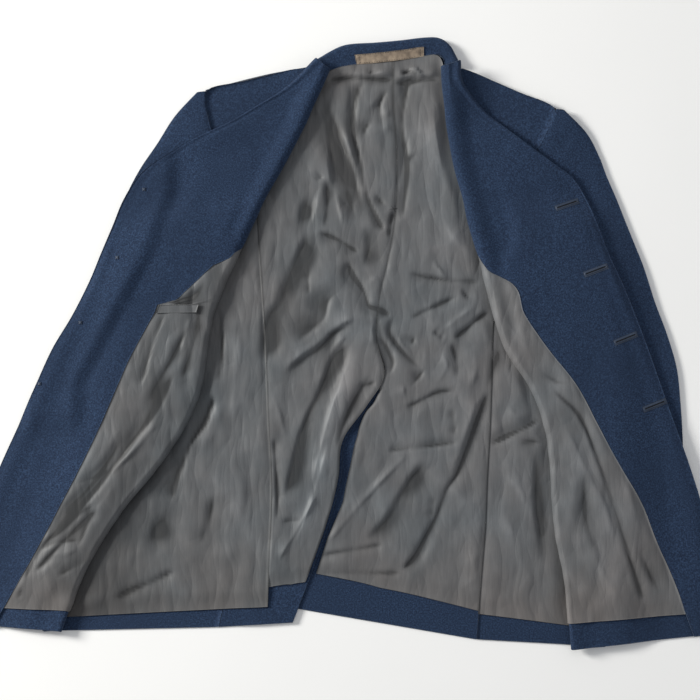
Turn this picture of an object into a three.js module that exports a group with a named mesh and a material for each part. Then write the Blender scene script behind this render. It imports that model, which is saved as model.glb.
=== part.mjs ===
// Service dress jacket, laid on its back with both fronts opened out over the sleeves.
// Millimetres, +Z up. Wearer's right is at -X, the hem at -Y. The cloth rests on z = 0.
import * as THREE from 'three';

const woolThickness = 2;
const liningThickness = 1;
const layerGap = 0.4;
const seamGap = 0.6;
const middleOfWidth = -10;
const middleOfLength = 15.6;

// Heights of the underside of each layer, one lying on the other.
const liningLevel = woolThickness + layerGap;
const foldedFrontLevel = liningLevel + liningThickness + woolThickness + layerGap * 3;
const topFrontLevel = foldedFrontLevel + woolThickness + layerGap;

const bodyRows = 28;
const sideRows = 11;
const frontSeamColumn = 11;
// The loop's ends, as shares of the way along the collar.
const hangerFrom = 0.278;
const hangerTo = 0.617;
const hangerSteps = 7;
const hangerWidth = 13;
const hangerThickness = 1.2;
const buttonDiameter = 25.4;
const buttonThickness = 3.4;
const buttonClearance = 3.6;
const weltThickness = 1.2;
const collarFallThickness = woolThickness * 2 + layerGap * 2;
const collarRadius = 4.6;

// Where each slope from one level to the next begins, and how long it is.
const slopes = {
  outsideBody: [13, 72],
  insideSleeve: [34, 20],
  outsideSleeve: [14, 42],
  belowCuff: [35, 60],
  sleeveClimb: [212, 46],
  besideButton: [24, 26],
  endOfButtons: [34, 40],
  roll: 26,
  ventSide: [10, 45],
  ventTop: [30, 60],
  collarSide: [24, 76],
  collarFoot: [285, 75],
};
const neckMiddle = 50;
const shoulderHeight = 345;
const ventTopShare = 0.56;

// Where the lining ends above the hem: shares of the length at one edge and at the other, and for
// the fronts the share of the last row.
const backLiningEnd = { right: [0.945, 0.942], left: [0.95, 0.966] };
const sideLiningEnd = [0.961, 0.978];
const frontLiningEnd = 0.38;

const wool = { color: '#2b3b52', roughness: 0.92, metalness: 0 };
const darkWool = { color: '#26364b', roughness: 0.94, metalness: 0 };
const satin = { color: '#6a6d70', roughness: 0.5, metalness: 0 };
const tape = { color: '#7d6e62', roughness: 0.9, metalness: 0 };
const brass = { color: '#a58a4a', roughness: 0.35, metalness: 1 };

// Centre back: the seam from the neck to the vent, then the edge of each half of the vent.
const centreBack = {
  right: [[58, 386], [58, 333], [62, 280], [63, 227], [60, 174], [51, 121], [39, 68], [35, 15],
    [45, -34], [25, -75], [-6, -120], [-12, -170], [-26, -225], [-49, -290], [-75, -358]],
  left: [[58, 386], [58, 333], [62, 280], [63, 227], [60, 174], [51, 121], [39, 68], [35, 15],
    [45, -34], [-2, -67], [-37, -107], [-57, -160], [-74, -220], [-90, -278], [-106, -334]],
};
// Armhole from the shoulder tip, then the seam between back and side body down to the hem.
const sideSeam = {
  right: [[-195, 352], [-188, 313], [-176, 275], [-163, 240], [-137, 213], [-125, 185], [-121, 130],
    [-117, 75], [-113, 20], [-112, -45], [-116, -110], [-126, -172], [-142, -235], [-158, -300],
    [-172, -364]],
  left: [[278, 327], [265, 297], [250, 264], [236, 232], [224, 200], [214, 165], [204, 125],
    [195, 70], [190, 20], [188, -45], [185, -110], [181, -172], [178, -235], [172, -304],
    [166, -380]],
};
// The lining's own seams down the body, from the same point of the armhole.
const liningSeam = {
  right: [...sideSeam.right.slice(0, 9), [-110, -45], [-107, -110], [-103, -172], [-104, -235],
    [-107, -300], [-109, -366]],
  left: sideSeam.left,
};
// Where the body folds over at the wearer's side, from the bottom of the armhole to the hem.
const sideFold = {
  right: [[-200, 150], [-218, 134], [-237, 112], [-256, 82], [-272, 48], [-286, 5], [-298, -50],
    [-313, -115], [-334, -175], [-360, -237], [-383, -300], [-399, -369]],
  left: [[262, 150], [278, 133], [294, 110], [310, 82], [322, 50], [330, 8], [333, -50],
    [334, -115], [336, -175], [336, -237], [332, -304], [330, -389]],
};
// Shoulder line at the back of the neck, from the neck point to the shoulder tip.
const shoulder = {
  right: [[-37, 367], [-64, 381], [-96, 377], [-131, 369], [-195, 352]],
  left: [[129, 363], [153, 379], [178, 371], [222, 351], [278, 327]],
};
const backNeck = [[-32, 375], [-19, 379], [3, 383], [34, 386], [67, 390], [101, 396], [117, 398],
  [125, 393], [128, 384]];
const collarCrest = [[-36, 391], [-23, 404], [-5, 413], [34, 416], [67, 419], [101, 423],
  [121, 422], [136, 411], [145, 392]];
const collarFallLength = [12, 30, 42, 45, 45, 45, 42, 30, 12];

// Fronts, a row for each level from the neck to the hem. Side is the seam or armhole, roll is
// where the front turns back on itself, edge is the free front edge. The facing starts at a
// place on the way round: 0 side, 1 roll begins, 2 roll ends, 3 edge.
// Columns: side x, side y, roll x, roll y, edge x, edge y, where the facing starts, roll radius.
const frontTable = {
  right: [
    [-58, 380, -34, 379, -46, 390, 0.80, 4.6],
    [-95, 374, -45, 353, -82, 355, 0.80, 4.6],
    [-144, 362, -57, 327, -135, 322, 0.80, 4.4],
    [-193, 349, -65, 308, -172, 300, 0.80, 4.2],
    [-190, 308, -76, 286, -212, 281, 0.80, 4.0],
    [-178, 275, -88, 262, -250, 257, 0.80, 3.8],
    [-165, 240, -101, 238, -280, 233, 0.80, 3.8],
    [-178, 208, -118, 208, -301, 200, 0.80, 3.8],
    [-187, 170, -137, 170, -315, 165, 0.90, 3.8],
    [-206, 126, -155, 130, -330, 128, 1.50, 3.8],
    [-229, 88, -172, 92, -345, 90, 2.06, 3.8],
    [-240, 45, -187, 48, -367, 45, 2.36, 3.8],
    [-254, 0, -195, 0, -393, 0, 2.45, 3.8],
    [-260, -50, -202, -48, -415, -50, 2.49, 3.8],
    [-268, -100, -222, -98, -437, -100, 2.49, 3.8],
    [-290, -150, -256, -150, -459, -150, 2.47, 3.8],
    [-318, -200, -297, -200, -481, -205, 2.44, 3.8],
    [-343, -250, -330, -250, -498, -255, 2.44, 3.4],
    [-368, -300, -356, -300, -510, -303, 2.49, 3.1],
    [-388, -368, -380, -368, -510, -360, 2.67, 2.8],
  ],
  left: [
    [152, 378, 130, 380, 148, 387, 0.80, 4.6],
    [182, 367, 131, 355, 151, 357, 0.80, 4.6],
    [228, 347, 134, 327, 178, 322, 0.80, 4.4],
    [275, 325, 136, 305, 207, 298, 0.80, 4.2],
    [263, 290, 140, 280, 240, 272, 0.80, 4.0],
    [249, 262, 144, 256, 272, 249, 0.80, 3.8],
    [237, 232, 149, 234, 298, 229, 0.80, 3.8],
    [247, 200, 157, 206, 316, 200, 0.80, 3.8],
    [258, 165, 166, 170, 330, 165, 1.10, 3.8],
    [267, 126, 178, 128, 343, 128, 1.60, 3.8],
    [276, 88, 187, 90, 360, 90, 2.13, 3.8],
    [290, 45, 197, 45, 378, 45, 2.19, 3.8],
    [296, 0, 212, 0, 395, 0, 2.27, 3.8],
    [300, -50, 243, -48, 412, -50, 2.33, 3.8],
    [305, -100, 262, -100, 429, -100, 2.38, 3.8],
    [309, -150, 269, -150, 446, -150, 2.47, 3.8],
    [315, -200, 271, -200, 462, -203, 2.58, 3.8],
    [313, -250, 276, -250, 475, -252, 2.63, 3.4],
    [315, -304, 286, -306, 488, -300, 2.68, 3.1],
    [316, -390, 292, -392, 490, -372, 2.80, 2.8],
  ],
};

// Sleeves, a row for each level from the shoulder tip to the cuff.
// Columns: inner x, inner y, outer x, outer y.
const sleeveTable = {
  right: [
    [-197, 348, -206, 347], [-193, 309, -236, 314], [-181, 276, -259, 278], [-168, 240, -282, 243],
    [-181, 207, -300, 207], [-196, 170, -314, 168], [-197, 140, -324, 138], [-188, 112, -336, 110],
    [-197, 70, -350, 68], [-207, 25, -368, 25], [-215, -20, -388, -20], [-228, -70, -408, -70],
    [-252, -120, -427, -120], [-284, -165, -443, -160], [-316, -205, -457, -197],
    [-342, -245, -468, -232],
  ],
  left: [
    [280, 324, 288, 323], [266, 291, 318, 292], [252, 262, 334, 262], [240, 232, 345, 232],
    [250, 200, 357, 203], [261, 165, 371, 166], [258, 135, 383, 135], [247, 108, 393, 108],
    [253, 65, 407, 62], [264, 20, 422, 20], [276, -25, 434, -25], [289, -70, 438, -70],
    [298, -115, 440, -115], [303, -165, 440, -165], [305, -215, 439, -215],
    [304, -275, 437, -275],
  ],
};

// Centres of the front buttons, on the outside of the right front and so under it here.
const buttonPlaces = [[-274, 213], [-308, 121], [-352, 35], [-394, -46]];

// Largest folds of the lining: a line from one end to the other, how wide and how high.
const liningFolds = [
  { from: [-52, 335], to: [0, 245], width: 16, height: 2.4 },
  { from: [0, 245], to: [48, 60], width: 17, height: 3.0 },
  { from: [5, 310], to: [48, 205], width: 15, height: 2.6 },
  { from: [72, 325], to: [70, 190], width: 17, height: 2.8 },
  { from: [120, 250], to: [75, 90], width: 18, height: 2.6 },
  { from: [150, -25], to: [88, -185], width: 20, height: 3.0 },
  { from: [-90, 120], to: [10, 55], width: 18, height: 2.4 },
  { from: [-80, -30], to: [-10, 40], width: 17, height: 2.2 },
  { from: [60, -30], to: [95, -250], width: 18, height: 2.4 },
  { from: [-75, -80], to: [-80, -250], width: 16, height: 2.0 },
];

const sign = { right: -1, left: 1 };
const up = new THREE.Vector3(0, 0, 1);

function clamp(a, low = 0, high = 1) {
  return Math.min(high, Math.max(low, a));
}

function ease(a) {
  const t = clamp(a);
  return t * t * (3 - 2 * t);
}

function mix(a, b, t) {
  return a + (b - a) * t;
}

// A smooth curve through points of a table, with t from 0 to 1.
function through(points) {
  const places = points.map(([x, y]) => new THREE.Vector3(x, y, 0));
  const path = new THREE.CatmullRomCurve3(places, false, 'centripetal');
  return (t) => path.getPoint(clamp(t));
}

// The straight runs between the points of a table, with t from 0 to 1.
function along(points) {
  const xs = points.map(([x]) => x);
  const ys = points.map(([, y]) => y);
  return (t) => new THREE.Vector3(valueAt(xs, t), valueAt(ys, t), 0);
}

function valueAt(list, t) {
  const place = clamp(t) * (list.length - 1);
  const index = Math.min(list.length - 2, Math.floor(place));
  return mix(list[index], list[index + 1], place - index);
}

// The x of a table's line at a height y, for lines that run down the body.
function crossing(points, y) {
  if (y >= points[0][1]) {
    return points[0][0];
  }
  for (let i = 1; i < points.length; i += 1) {
    const [x1, y1] = points[i];
    const [x0, y0] = points[i - 1];
    if (y >= y1) {
      return mix(x0, x1, (y0 - y) / (y0 - y1));
    }
  }
  return points[points.length - 1][0];
}

function pick(side, first) {
  return sleeveTable[side].map((row) => [row[first], row[first + 1]]);
}

// Lift of everything that lies on the folded collar at the back of the neck.
function collarLift(x, y) {
  const [reach, length] = slopes.collarSide;
  const [foot, rise] = slopes.collarFoot;
  const outside = Math.abs(x - neckMiddle) - (neckMiddle + reach);
  return (1 - ease(outside / length)) * ease((y - foot) / rise);
}

function lift(x, y, layer) {
  const share = collarLift(x, y);
  const slack = [0, 1.7, 2.3, 2.8][layer];
  return collarFallThickness * share + slack * 4 * share * (1 - share);
}

// How far the side fold and the armhole hold the layers up: 1 over the body, 0 well outside it.
const bodyOutline = {
  right: [[-195, 352], [-190, 308], [-178, 275], [-168, 240], [-184, 205], [-215, 170], [-243, 135],
    [-264, 95], [-280, 48], ...sideFold.right.slice(5)],
  left: [[278, 327], [263, 290], [250, 262], [240, 232], [254, 200], [280, 170], [303, 135],
    [320, 95], [330, 50], ...sideFold.left.slice(5)],
};

function bodyShare(side, x, y) {
  const outside = (x - crossing(bodyOutline[side], y)) * sign[side];
  const [from, length] = slopes.outsideBody;
  return 1 - ease((outside - from) / length);
}

// The sleeve leaves the armhole at the level of the back and climbs on to the folded front.
function climb(y) {
  const [top, length] = slopes.sleeveClimb;
  return ease((top - y) / length);
}

function sleeveUnderLevel(side, x, y) {
  return topFrontLevel * bodyShare(side, x, y) * climb(y);
}

function sleeveTopLevel(side, x, y) {
  const share = bodyShare(side, x, y);
  const atArmhole = foldedFrontLevel - liningLevel;
  return liningLevel + share * (atArmhole + (topFrontLevel - atArmhole) * climb(y));
}

function sleeveShare(side, x, y) {
  const inner = (crossing(pick(side, 0), y) - x) * sign[side];
  const outer = (x - crossing(pick(side, 2), y)) * sign[side];
  const cuff = sleeveTable[side][sleeveTable[side].length - 1][1];
  const past = (distance, [from, length]) => 1 - ease((distance - from) / length);
  const across = past(inner, slopes.insideSleeve) * past(outer, slopes.outsideSleeve);
  return across * past(cuff - y, slopes.belowCuff);
}

function restingLevel(side, x, y) {
  const onBody = topFrontLevel * bodyShare(side, x, y);
  const onSleeve = sleeveTopLevel(side, x, y) + woolThickness + layerGap + 1;
  return mix(onBody, onSleeve, y > shoulderHeight ? 0 : sleeveShare(side, x, y));
}

// Buttons hold the right front up along their line.
function buttonShare(x, y) {
  const line = crossing(buttonPlaces, y);
  const [, top] = buttonPlaces[0];
  const [, bottom] = buttonPlaces[buttonPlaces.length - 1];
  const [beside, slope] = slopes.besideButton;
  const [beyond, fall] = slopes.endOfButtons;
  const near = 1 - ease((Math.abs(x - line) - beside) / slope);
  return near * (1 - ease((y - top - beyond) / fall)) * (1 - ease((bottom - beyond - y) / fall));
}

function topLevel(side, x, y) {
  const held = side === 'right' ? (buttonThickness + buttonClearance) * buttonShare(x, y) : 0;
  return restingLevel(side, x, y) + held;
}

// The vent: the right half lies on the turned-under part of the left half.
function ventLift(x, y) {
  const underlap = crossing(centreBack.left, y);
  const [from, length] = slopes.ventSide;
  const [top, rise] = slopes.ventTop;
  return liningLevel * ease((x - underlap + from + length) / length) * ease((top - y) / rise);
}

function foldHeight(x, y) {
  let height = 0;
  for (const fold of liningFolds) {
    const [x0, y0] = fold.from;
    const dx = fold.to[0] - x0;
    const dy = fold.to[1] - y0;
    const length = Math.hypot(dx, dy);
    const place = ((x - x0) * dx + (y - y0) * dy) / (length * length);
    const away = Math.abs((x - x0) * dy - (y - y0) * dx) / length;
    const ends = ease(place * 4) * ease((1 - place) * 4);
    height = Math.max(height, fold.height * ends * (1 - ease(away / fold.width)));
  }
  return height;
}

// A closed wall of cloth: a grid of places with their normals, given a front and a back.
function wall(name, grid, thickness, look) {
  const rows = grid.length;
  const columns = grid[0].length;
  const positions = [];
  for (const side of [0.5, -0.5]) {
    for (const row of grid) {
      for (const spot of row) {
        const p = spot.point.clone().addScaledVector(spot.normal, thickness * side);
        positions.push(p.x - middleOfWidth, p.y - middleOfLength, p.z);
      }
    }
  }
  const faces = [];
  const edges = new Map();
  const note = (a, b) => {
    if (edges.has(`${b},${a}`)) {
      edges.delete(`${b},${a}`);
    } else {
      edges.set(`${a},${b}`, [a, b]);
    }
  };
  for (let i = 0; i + 1 < rows; i += 1) {
    for (let j = 0; j + 1 < columns; j += 1) {
      const a = i * columns + j;
      const b = a + 1;
      const c = a + columns;
      const d = c + 1;
      faces.push([a, c, b], [b, c, d]);
      note(a, c);
      note(c, d);
      note(d, b);
      note(b, a);
    }
  }
  const half = rows * columns;
  const index = [];
  for (const [a, b, c] of faces) {
    index.push(a, b, c, a + half, c + half, b + half);
  }
  for (const [a, b] of edges.values()) {
    index.push(a, a + half, b, b, a + half, b + half);
  }
  return closed(name, positions, index, look);
}

function closed(name, positions, index, look) {
  let volume = 0;
  const p = (i) => new THREE.Vector3().fromArray(positions, i * 3);
  for (let i = 0; i < index.length; i += 3) {
    volume += p(index[i]).dot(p(index[i + 1]).cross(p(index[i + 2])));
  }
  if (volume < 0) {
    for (let i = 0; i < index.length; i += 3) {
      [index[i + 1], index[i + 2]] = [index[i + 2], index[i + 1]];
    }
  }
  const used = new Map();
  const kept = [];
  const order = index.map((i) => {
    if (!used.has(i)) {
      used.set(i, kept.length / 3);
      kept.push(positions[i * 3], positions[i * 3 + 1], positions[i * 3 + 2]);
    }
    return used.get(i);
  });
  const geometry = new THREE.BufferGeometry();
  geometry.setAttribute('position', new THREE.Float32BufferAttribute(kept, 3));
  geometry.setIndex(order);
  geometry.computeVertexNormals();
  const mesh = new THREE.Mesh(geometry, new THREE.MeshStandardMaterial(look));
  mesh.name = name;
  return mesh;
}

// A flat piece between four border curves, each with t from 0 to 1.
function patch({ start, end, inner, outer }, s, t) {
  const across = inner(t).multiplyScalar(1 - s).addScaledVector(outer(t), s);
  const along = start(s).multiplyScalar(1 - t).addScaledVector(end(s), t);
  const corners = start(0).multiplyScalar((1 - s) * (1 - t)).addScaledVector(start(1), s * (1 - t))
    .addScaledVector(end(0), (1 - s) * t).addScaledVector(end(1), s * t);
  return across.add(along).sub(corners);
}

function straight(a, b) {
  return (t) => a.clone().lerp(b, t);
}

function spaced(count, from = 0, to = 1) {
  return Array.from({ length: count + 1 }, (_, i) => mix(from, to, i / count));
}

function moved(points, x, y = 0) {
  return points.map(([a, b]) => [a + x, b + y]);
}

// Border curves of one half of the back, drawn in from its seams.
function backBorders(side, seams) {
  const s = sign[side];
  const inner = through(moved(centreBack[side], s * seamGap / 2));
  const outer = along(moved(seams[side], -s * seamGap / 2));
  const neck = side === 'right' ? [[58, 388], [34, 385], [3, 382], [-19, 377], [-37, 367]]
    : [[58, 388], [80, 391], [101, 394.5], [116, 395.5], [124, 387], [129, 363]];
  const neckCurve = through(neck);
  const shoulderCurve = through(shoulder[side]);
  const top = (t) => (t < 0.4 ? neckCurve(t / 0.4) : shoulderCurve((t - 0.4) / 0.6));
  const first = top(0);
  const last = top(1);
  const start = (t) => top(t).add(inner(0).sub(first).multiplyScalar(1 - t))
    .add(outer(0).sub(last).multiplyScalar(t));
  return { start, end: straight(inner(1), outer(1)), inner, outer };
}

function backWool(side) {
  const borders = backBorders(side, sideSeam);
  const columns = spaced(8);
  const grid = spaced(bodyRows).map((t) => columns.map((s) => {
    const point = patch(borders, s, t);
    const vent = side === 'right' ? ventLift(point.x, point.y) : 0;
    point.z = woolThickness / 2 + lift(point.x, point.y, 0) + vent;
    return { point, normal: up };
  }));
  return wall(`back_${side}`, grid, woolThickness, wool);
}

function backLining(side) {
  const borders = backBorders(side, liningSeam);
  const columns = spaced(13);
  const rows = [0.002, ...spaced(bodyRows).slice(1, -2)].map((t) => [t, t]);
  rows.push(backLiningEnd[side]);
  const grid = rows.map(([atCentre, atSeam]) => columns.map((s) => {
    const t = mix(atCentre, atSeam, s);
    const below = ease((t - ventTopShare) / 0.1);
    const point = patch(borders, s, t);
    point.x += (1 - s) * below * (side === 'left' ? ventReveal(t) : -4);
    const vent = side === 'right' ? ventLift(point.x, point.y) : 0;
    const slope = vent * (woolThickness + layerGap - vent) * 0.5;
    const base = slope + liningLevel + liningThickness / 2 + lift(point.x, point.y, 1) + vent;
    const open = Math.min(openShare('right', point.x, point.y), openShare('left', point.x, point.y));
    point.z = base + foldHeight(point.x, point.y) * open * ease(s * 5) * ease((1 - s) * 5);
    return { point, normal: up };
  }));
  return wall(`lining_back_${side}`, grid, liningThickness, satin);
}

// The strip of turned-under wool that shows beside the lining of the left half of the vent.
function ventReveal(t) {
  return valueAt([0, 38, 39, 51, 56, 60, 53, 51, 51], (t - ventTopShare) / (1 - ventTopShare));
}

// 1 where no front lies over the lining, 0 under a front.
function openShare(side, x, y) {
  const rolls = frontTable[side].map((row) => [row[2], row[3]]);
  return ease(((crossing(rolls, y) - x) * sign[side] - 12) / 24);
}

// The side body: flat from the back seam to the side fold, round it, and in on top to its seam.
const armholeRow = 3;
const firstSideRow = 8;

// Level direction square to the run from one place to the next, pointing towards +X or -X.
function squareTo(from, to, toward) {
  const run = to.clone().sub(from);
  const square = new THREE.Vector3(-run.y, run.x, 0).normalize();
  return square.x * toward < 0 ? square.negate() : square;
}

// The way out of the body at the side fold.
function foldDirection(side, t) {
  const points = sideFold[side].map(([x, y]) => new THREE.Vector3(x, y, 0));
  const directions = points.map((point, i) => (
    squareTo(points[Math.max(0, i - 1)], points[Math.min(points.length - 1, i + 1)], sign[side])));
  const x = valueAt(directions.map((direction) => direction.x), t);
  const y = valueAt(directions.map((direction) => direction.y), t);
  return new THREE.Vector3(x, y, 0);
}

function sidePath(side, seams, t, way) {
  const first = armholeRow / (seams[side].length - 1);
  const seam = along(moved(seams[side], sign[side] * seamGap / 2))(mix(first, 1, t));
  const fold = along(sideFold[side])(t);
  const radius = foldedFrontLevel / 2;
  const outward = foldDirection(side, t);
  if (way <= 1) {
    return { point: seam.clone().lerp(fold, way), normal: up.clone().negate() };
  }
  if (way < 2) {
    const angle = (way - 1) * Math.PI;
    const point = fold.clone().addScaledVector(outward, radius * Math.sin(angle));
    point.z = radius * (1 - Math.cos(angle));
    const normal = outward.clone().multiplyScalar(Math.sin(angle)).addScaledVector(up, -Math.cos(angle));
    return { point, normal };
  }
  const rows = frontTable[side].slice(firstSideRow);
  const seamX = valueAt(rows.map((row) => row[0]), t) + sign[side] * seamGap;
  const seamY = valueAt(rows.map((row) => row[1]), t);
  const point = fold.clone().lerp(new THREE.Vector3(seamX, seamY, 0), way - 2);
  point.z = 2 * radius;
  return { point, normal: up };
}

function sideGrid(side, seams, rows, ways, offset) {
  return rows.map(([atSeam, atFold]) => ways.map((way) => {
    const { point, normal } = sidePath(side, seams, mix(atSeam, atFold, clamp(way)), way);
    point.z += woolThickness / 2;
    point.addScaledVector(normal, -offset);
    if (side === 'right' && offset > 0 && way <= 1) {
      point.z += ventLift(point.x, point.y) * 1.2;
    }
    return { point, normal };
  }));
}

function sideBody(side) {
  const ways = [0, 0.5, 1, 1.2, 1.4, 1.6, 1.8, 2, 3];
  const grid = sideGrid(side, sideSeam, spaced(sideRows).map((t) => [t, t]), ways, 0);
  return wall(`side_${side}`, grid, woolThickness, wool);
}

function sideLining(side) {
  const ways = [0, 0.5, 1, 1.2, 1.4, 1.6, 1.8, 2, 2.9];
  const offset = woolThickness / 2 + layerGap + liningThickness / 2;
  const rows = spaced(sideRows).slice(0, -1).map((t) => [t, t]);
  rows.push(sideLiningEnd);
  const grid = sideGrid(side, liningSeam, rows, ways, offset);
  return wall(`lining_side_${side}`, grid, liningThickness, satin);
}

// One way round the front: in along the fold, round the roll, and out on top to the free edge.
function frontGrid(side) {
  const effort = (way) => (way < 1 ? way * 3 : way < 2 ? 3 + (way - 1) * 6 : 9 + (way - 2) * 12);
  const wayAt = (value) => (value < 3 ? value / 3 : value < 9 ? 1 + (value - 3) / 6 : 2 + (value - 9) / 12);
  const rolls = frontTable[side].map((row) => new THREE.Vector3(row[2], row[3], 0));
  return frontTable[side].map(([sideX, sideY, rollX, rollY, edgeX, edgeY, facing, radius], i) => {
    const above = rolls[Math.max(0, i - 1)];
    const below = rolls[Math.min(rolls.length - 1, i + 1)];
    const inward = squareTo(above, below, -sign[side]);
    const split = effort(facing);
    const values = [...spaced(frontSeamColumn, 0, split), ...spaced(8, split, 21).slice(1)];
    const start = new THREE.Vector3(sideX, sideY, 0);
    const roll = new THREE.Vector3(rollX, rollY, 0);
    const edge = new THREE.Vector3(edgeX, edgeY, 0);
    return values.map((value) => frontSpot(side, wayAt(value), radius, { start, roll, edge, inward }));
  });
}

function frontSpot(side, way, radius, { start, roll, edge, inward }) {
  const half = woolThickness / 2;
  const folded = (x, y) => foldedFrontLevel + half + lift(x, y, 2);
  if (way <= 1) {
    const point = start.clone().lerp(roll, way);
    point.z = folded(point.x, point.y);
    return { point, normal: up.clone().negate() };
  }
  if (way < 2) {
    const angle = (way - 1) * Math.PI;
    const point = roll.clone().addScaledVector(inward, radius * Math.sin(angle));
    point.z = folded(roll.x, roll.y) + radius * (1 - Math.cos(angle));
    const normal = inward.clone().multiplyScalar(Math.sin(angle)).addScaledVector(up, -Math.cos(angle));
    return { point, normal };
  }
  const point = roll.clone().lerp(edge, way - 2);
  const away = point.distanceTo(roll);
  const atRoll = folded(roll.x, roll.y) + 2 * radius;
  const resting = topLevel(side, point.x, point.y) + half + lift(point.x, point.y, 3);
  point.z = mix(atRoll, resting, ease(away / slopes.roll));
  return { point, normal: up };
}

// What lies on the fronts is made from their places, moved out.
function outOf(grid, thickness) {
  return grid.map((row, i) => row.map(({ point, normal }) => {
    const crossesRoll = i >= firstSideRow && i <= firstSideRow + 2 && normal.z > -0.9;
    const gap = layerGap * (crossesRoll ? 5.5 : 1.5);
    const offset = (woolThickness + thickness) / 2 + gap;
    return { point: point.clone().addScaledVector(normal, offset), normal };
  }));
}

// Drawn back from the seam between facing and lining.
function drawnIn(rows, from, to) {
  return rows.map((row) => {
    const copy = row.slice();
    const inward = copy[to].point.clone().sub(copy[from].point).normalize();
    const point = copy[from].point.clone().addScaledVector(inward, seamGap / 2);
    copy[from] = { point, normal: copy[from].normal };
    return copy;
  });
}

function frontPieces(side) {
  const grid = frontGrid(side);
  const last = grid.length - 1;
  const lining = outOf(grid, liningThickness).map((row) => row.slice(0, frontSeamColumn + 1));
  lining[last] = lining[last].map(({ point, normal }, j) => {
    point.lerp(lining[last - 1][j].point, frontLiningEnd).addScaledVector(normal, layerGap);
    return { point, normal };
  });
  const facing = outOf(grid, woolThickness).map((row) => row.slice(frontSeamColumn));
  const drawnLining = drawnIn(lining, frontSeamColumn, frontSeamColumn - 1);
  return [
    wall(`front_${side}`, grid, woolThickness, wool),
    wall(`lining_front_${side}`, drawnLining, liningThickness, satin),
    wall(`facing_${side}`, drawnIn(facing, 0, 1), woolThickness, darkWool),
  ];
}

function sleevePieces(side) {
  const inner = through(pick(side, 0));
  const outer = through(pick(side, 2));
  const rows = spaced(sleeveTable[side].length - 1);
  const build = (name, level, inset) => {
    const grid = rows.map((t) => spaced(6, inset, 1 - inset).map((s) => {
      const point = inner(t).lerp(outer(t), s);
      point.z = level(side, point.x, point.y) + woolThickness / 2;
      return { point, normal: up };
    }));
    return wall(`${name}_${side}`, grid, woolThickness, wool);
  };
  return [build('sleeve_under', sleeveUnderLevel, 0.01), build('sleeve_top', sleeveTopLevel, 0)];
}

// The collar: the fall on the surface under the back, up round the crest, and the stand back
// to the neck seam. The under collar lies inside the top collar.
function collarGrid(offset, fallInset, places = spaced(16)) {
  const seam = through(backNeck);
  const crest = through(collarCrest);
  const half = woolThickness / 2;
  const neckLevel = liningLevel + collarFallThickness + woolThickness / 2;
  return places.map((t) => {
    const start = seam(t);
    const top = crest(t);
    const outward = top.clone().sub(start).normalize();
    start.addScaledVector(outward, seamGap);
    const turn = top.clone().addScaledVector(outward, -collarRadius - half);
    const fall = valueAt(collarFallLength, t) - fallInset;
    const spots = [];
    for (const way of spaced(4)) {
      const point = turn.clone().addScaledVector(outward, -fall * (1 - way));
      point.z = half;
      spots.push({ point, normal: up.clone().negate() });
    }
    for (const way of spaced(6).slice(1)) {
      const angle = way * Math.PI;
      const point = turn.clone().addScaledVector(outward, collarRadius * Math.sin(angle));
      point.z = half + collarRadius * (1 - Math.cos(angle));
      const normal = outward.clone().multiplyScalar(Math.sin(angle)).addScaledVector(up, -Math.cos(angle));
      spots.push({ point, normal });
    }
    for (const way of spaced(4).slice(1)) {
      const point = turn.clone().lerp(start, way);
      point.z = mix(half + 2 * collarRadius, neckLevel, ease(way));
      spots.push({ point, normal: up });
    }
    return spots.map(({ point, normal }) => ({ point: point.addScaledVector(normal, -offset), normal }));
  });
}

// The loop lies along the stand of the collar, sewn down at both ends.
function hangerLoop() {
  const rows = collarGrid(0, 0, spaced(hangerSteps, hangerFrom, hangerTo));
  const grid = rows.map((row, i) => {
    const arch = Math.sin((i / hangerSteps) * Math.PI);
    const offset = woolThickness / 2 + layerGap + hangerThickness / 2 + arch;
    const low = row[row.length - 2].point;
    const high = row[row.length - 3].point;
    const middle = low.clone().lerp(high, 0.1);
    const across = high.clone().sub(low).normalize().multiplyScalar(hangerWidth / 2);
    return [-1, 0, 1].map((step) => (
      { point: middle.clone().addScaledVector(across, step).addScaledVector(up, offset), normal: up }));
  });
  return wall('hanger_loop', grid, hangerThickness, tape);
}

function button(number, [x, y]) {
  const geometry = new THREE.CylinderGeometry(buttonDiameter / 2, buttonDiameter / 2, buttonThickness, 24);
  geometry.rotateX(Math.PI / 2);
  const bottom = restingLevel('right', x, y) + layerGap * 3.5;
  geometry.translate(x - middleOfWidth, y - middleOfLength, bottom + buttonThickness / 2);
  const mesh = new THREE.Mesh(geometry, new THREE.MeshStandardMaterial(brass));
  mesh.name = `button_${number}`;
  return mesh;
}

// The welt of the inner pocket, on the lining of the right front beside the facing.
function pocketWelt() {
  const lining = outOf(frontGrid('right'), liningThickness);
  const row = 11;
  const grid = [0.16, 0.38].map((share) => [8, 9, 10, 10.6].map((place) => {
    const j = Math.floor(place);
    const offset = (liningThickness + weltThickness) / 2 + layerGap * 2;
    const [low, high] = [lining[row], lining[row - 1]].map((spots) => (
      spots[j].point.clone().lerp(spots[j + 1].point, place - j)));
    return { point: low.lerp(high, share).addScaledVector(up, offset), normal: up };
  }));
  return wall('pocket_welt_right', grid, weltThickness, satin);
}

const jacket = new THREE.Group();
jacket.name = 'service_dress_jacket';
for (const side of ['right', 'left']) {
  jacket.add(backWool(side), sideBody(side), ...frontPieces(side), ...sleevePieces(side));
  jacket.add(backLining(side), sideLining(side));
}
jacket.add(wall('collar_top', collarGrid(0, 0), woolThickness, wool));
jacket.add(wall('collar_under', collarGrid(woolThickness + layerGap, 3), woolThickness, wool));
jacket.add(hangerLoop(), pocketWelt());
buttonPlaces.forEach((place, i) => jacket.add(button(i + 1, place)));

export default jacket;
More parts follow.
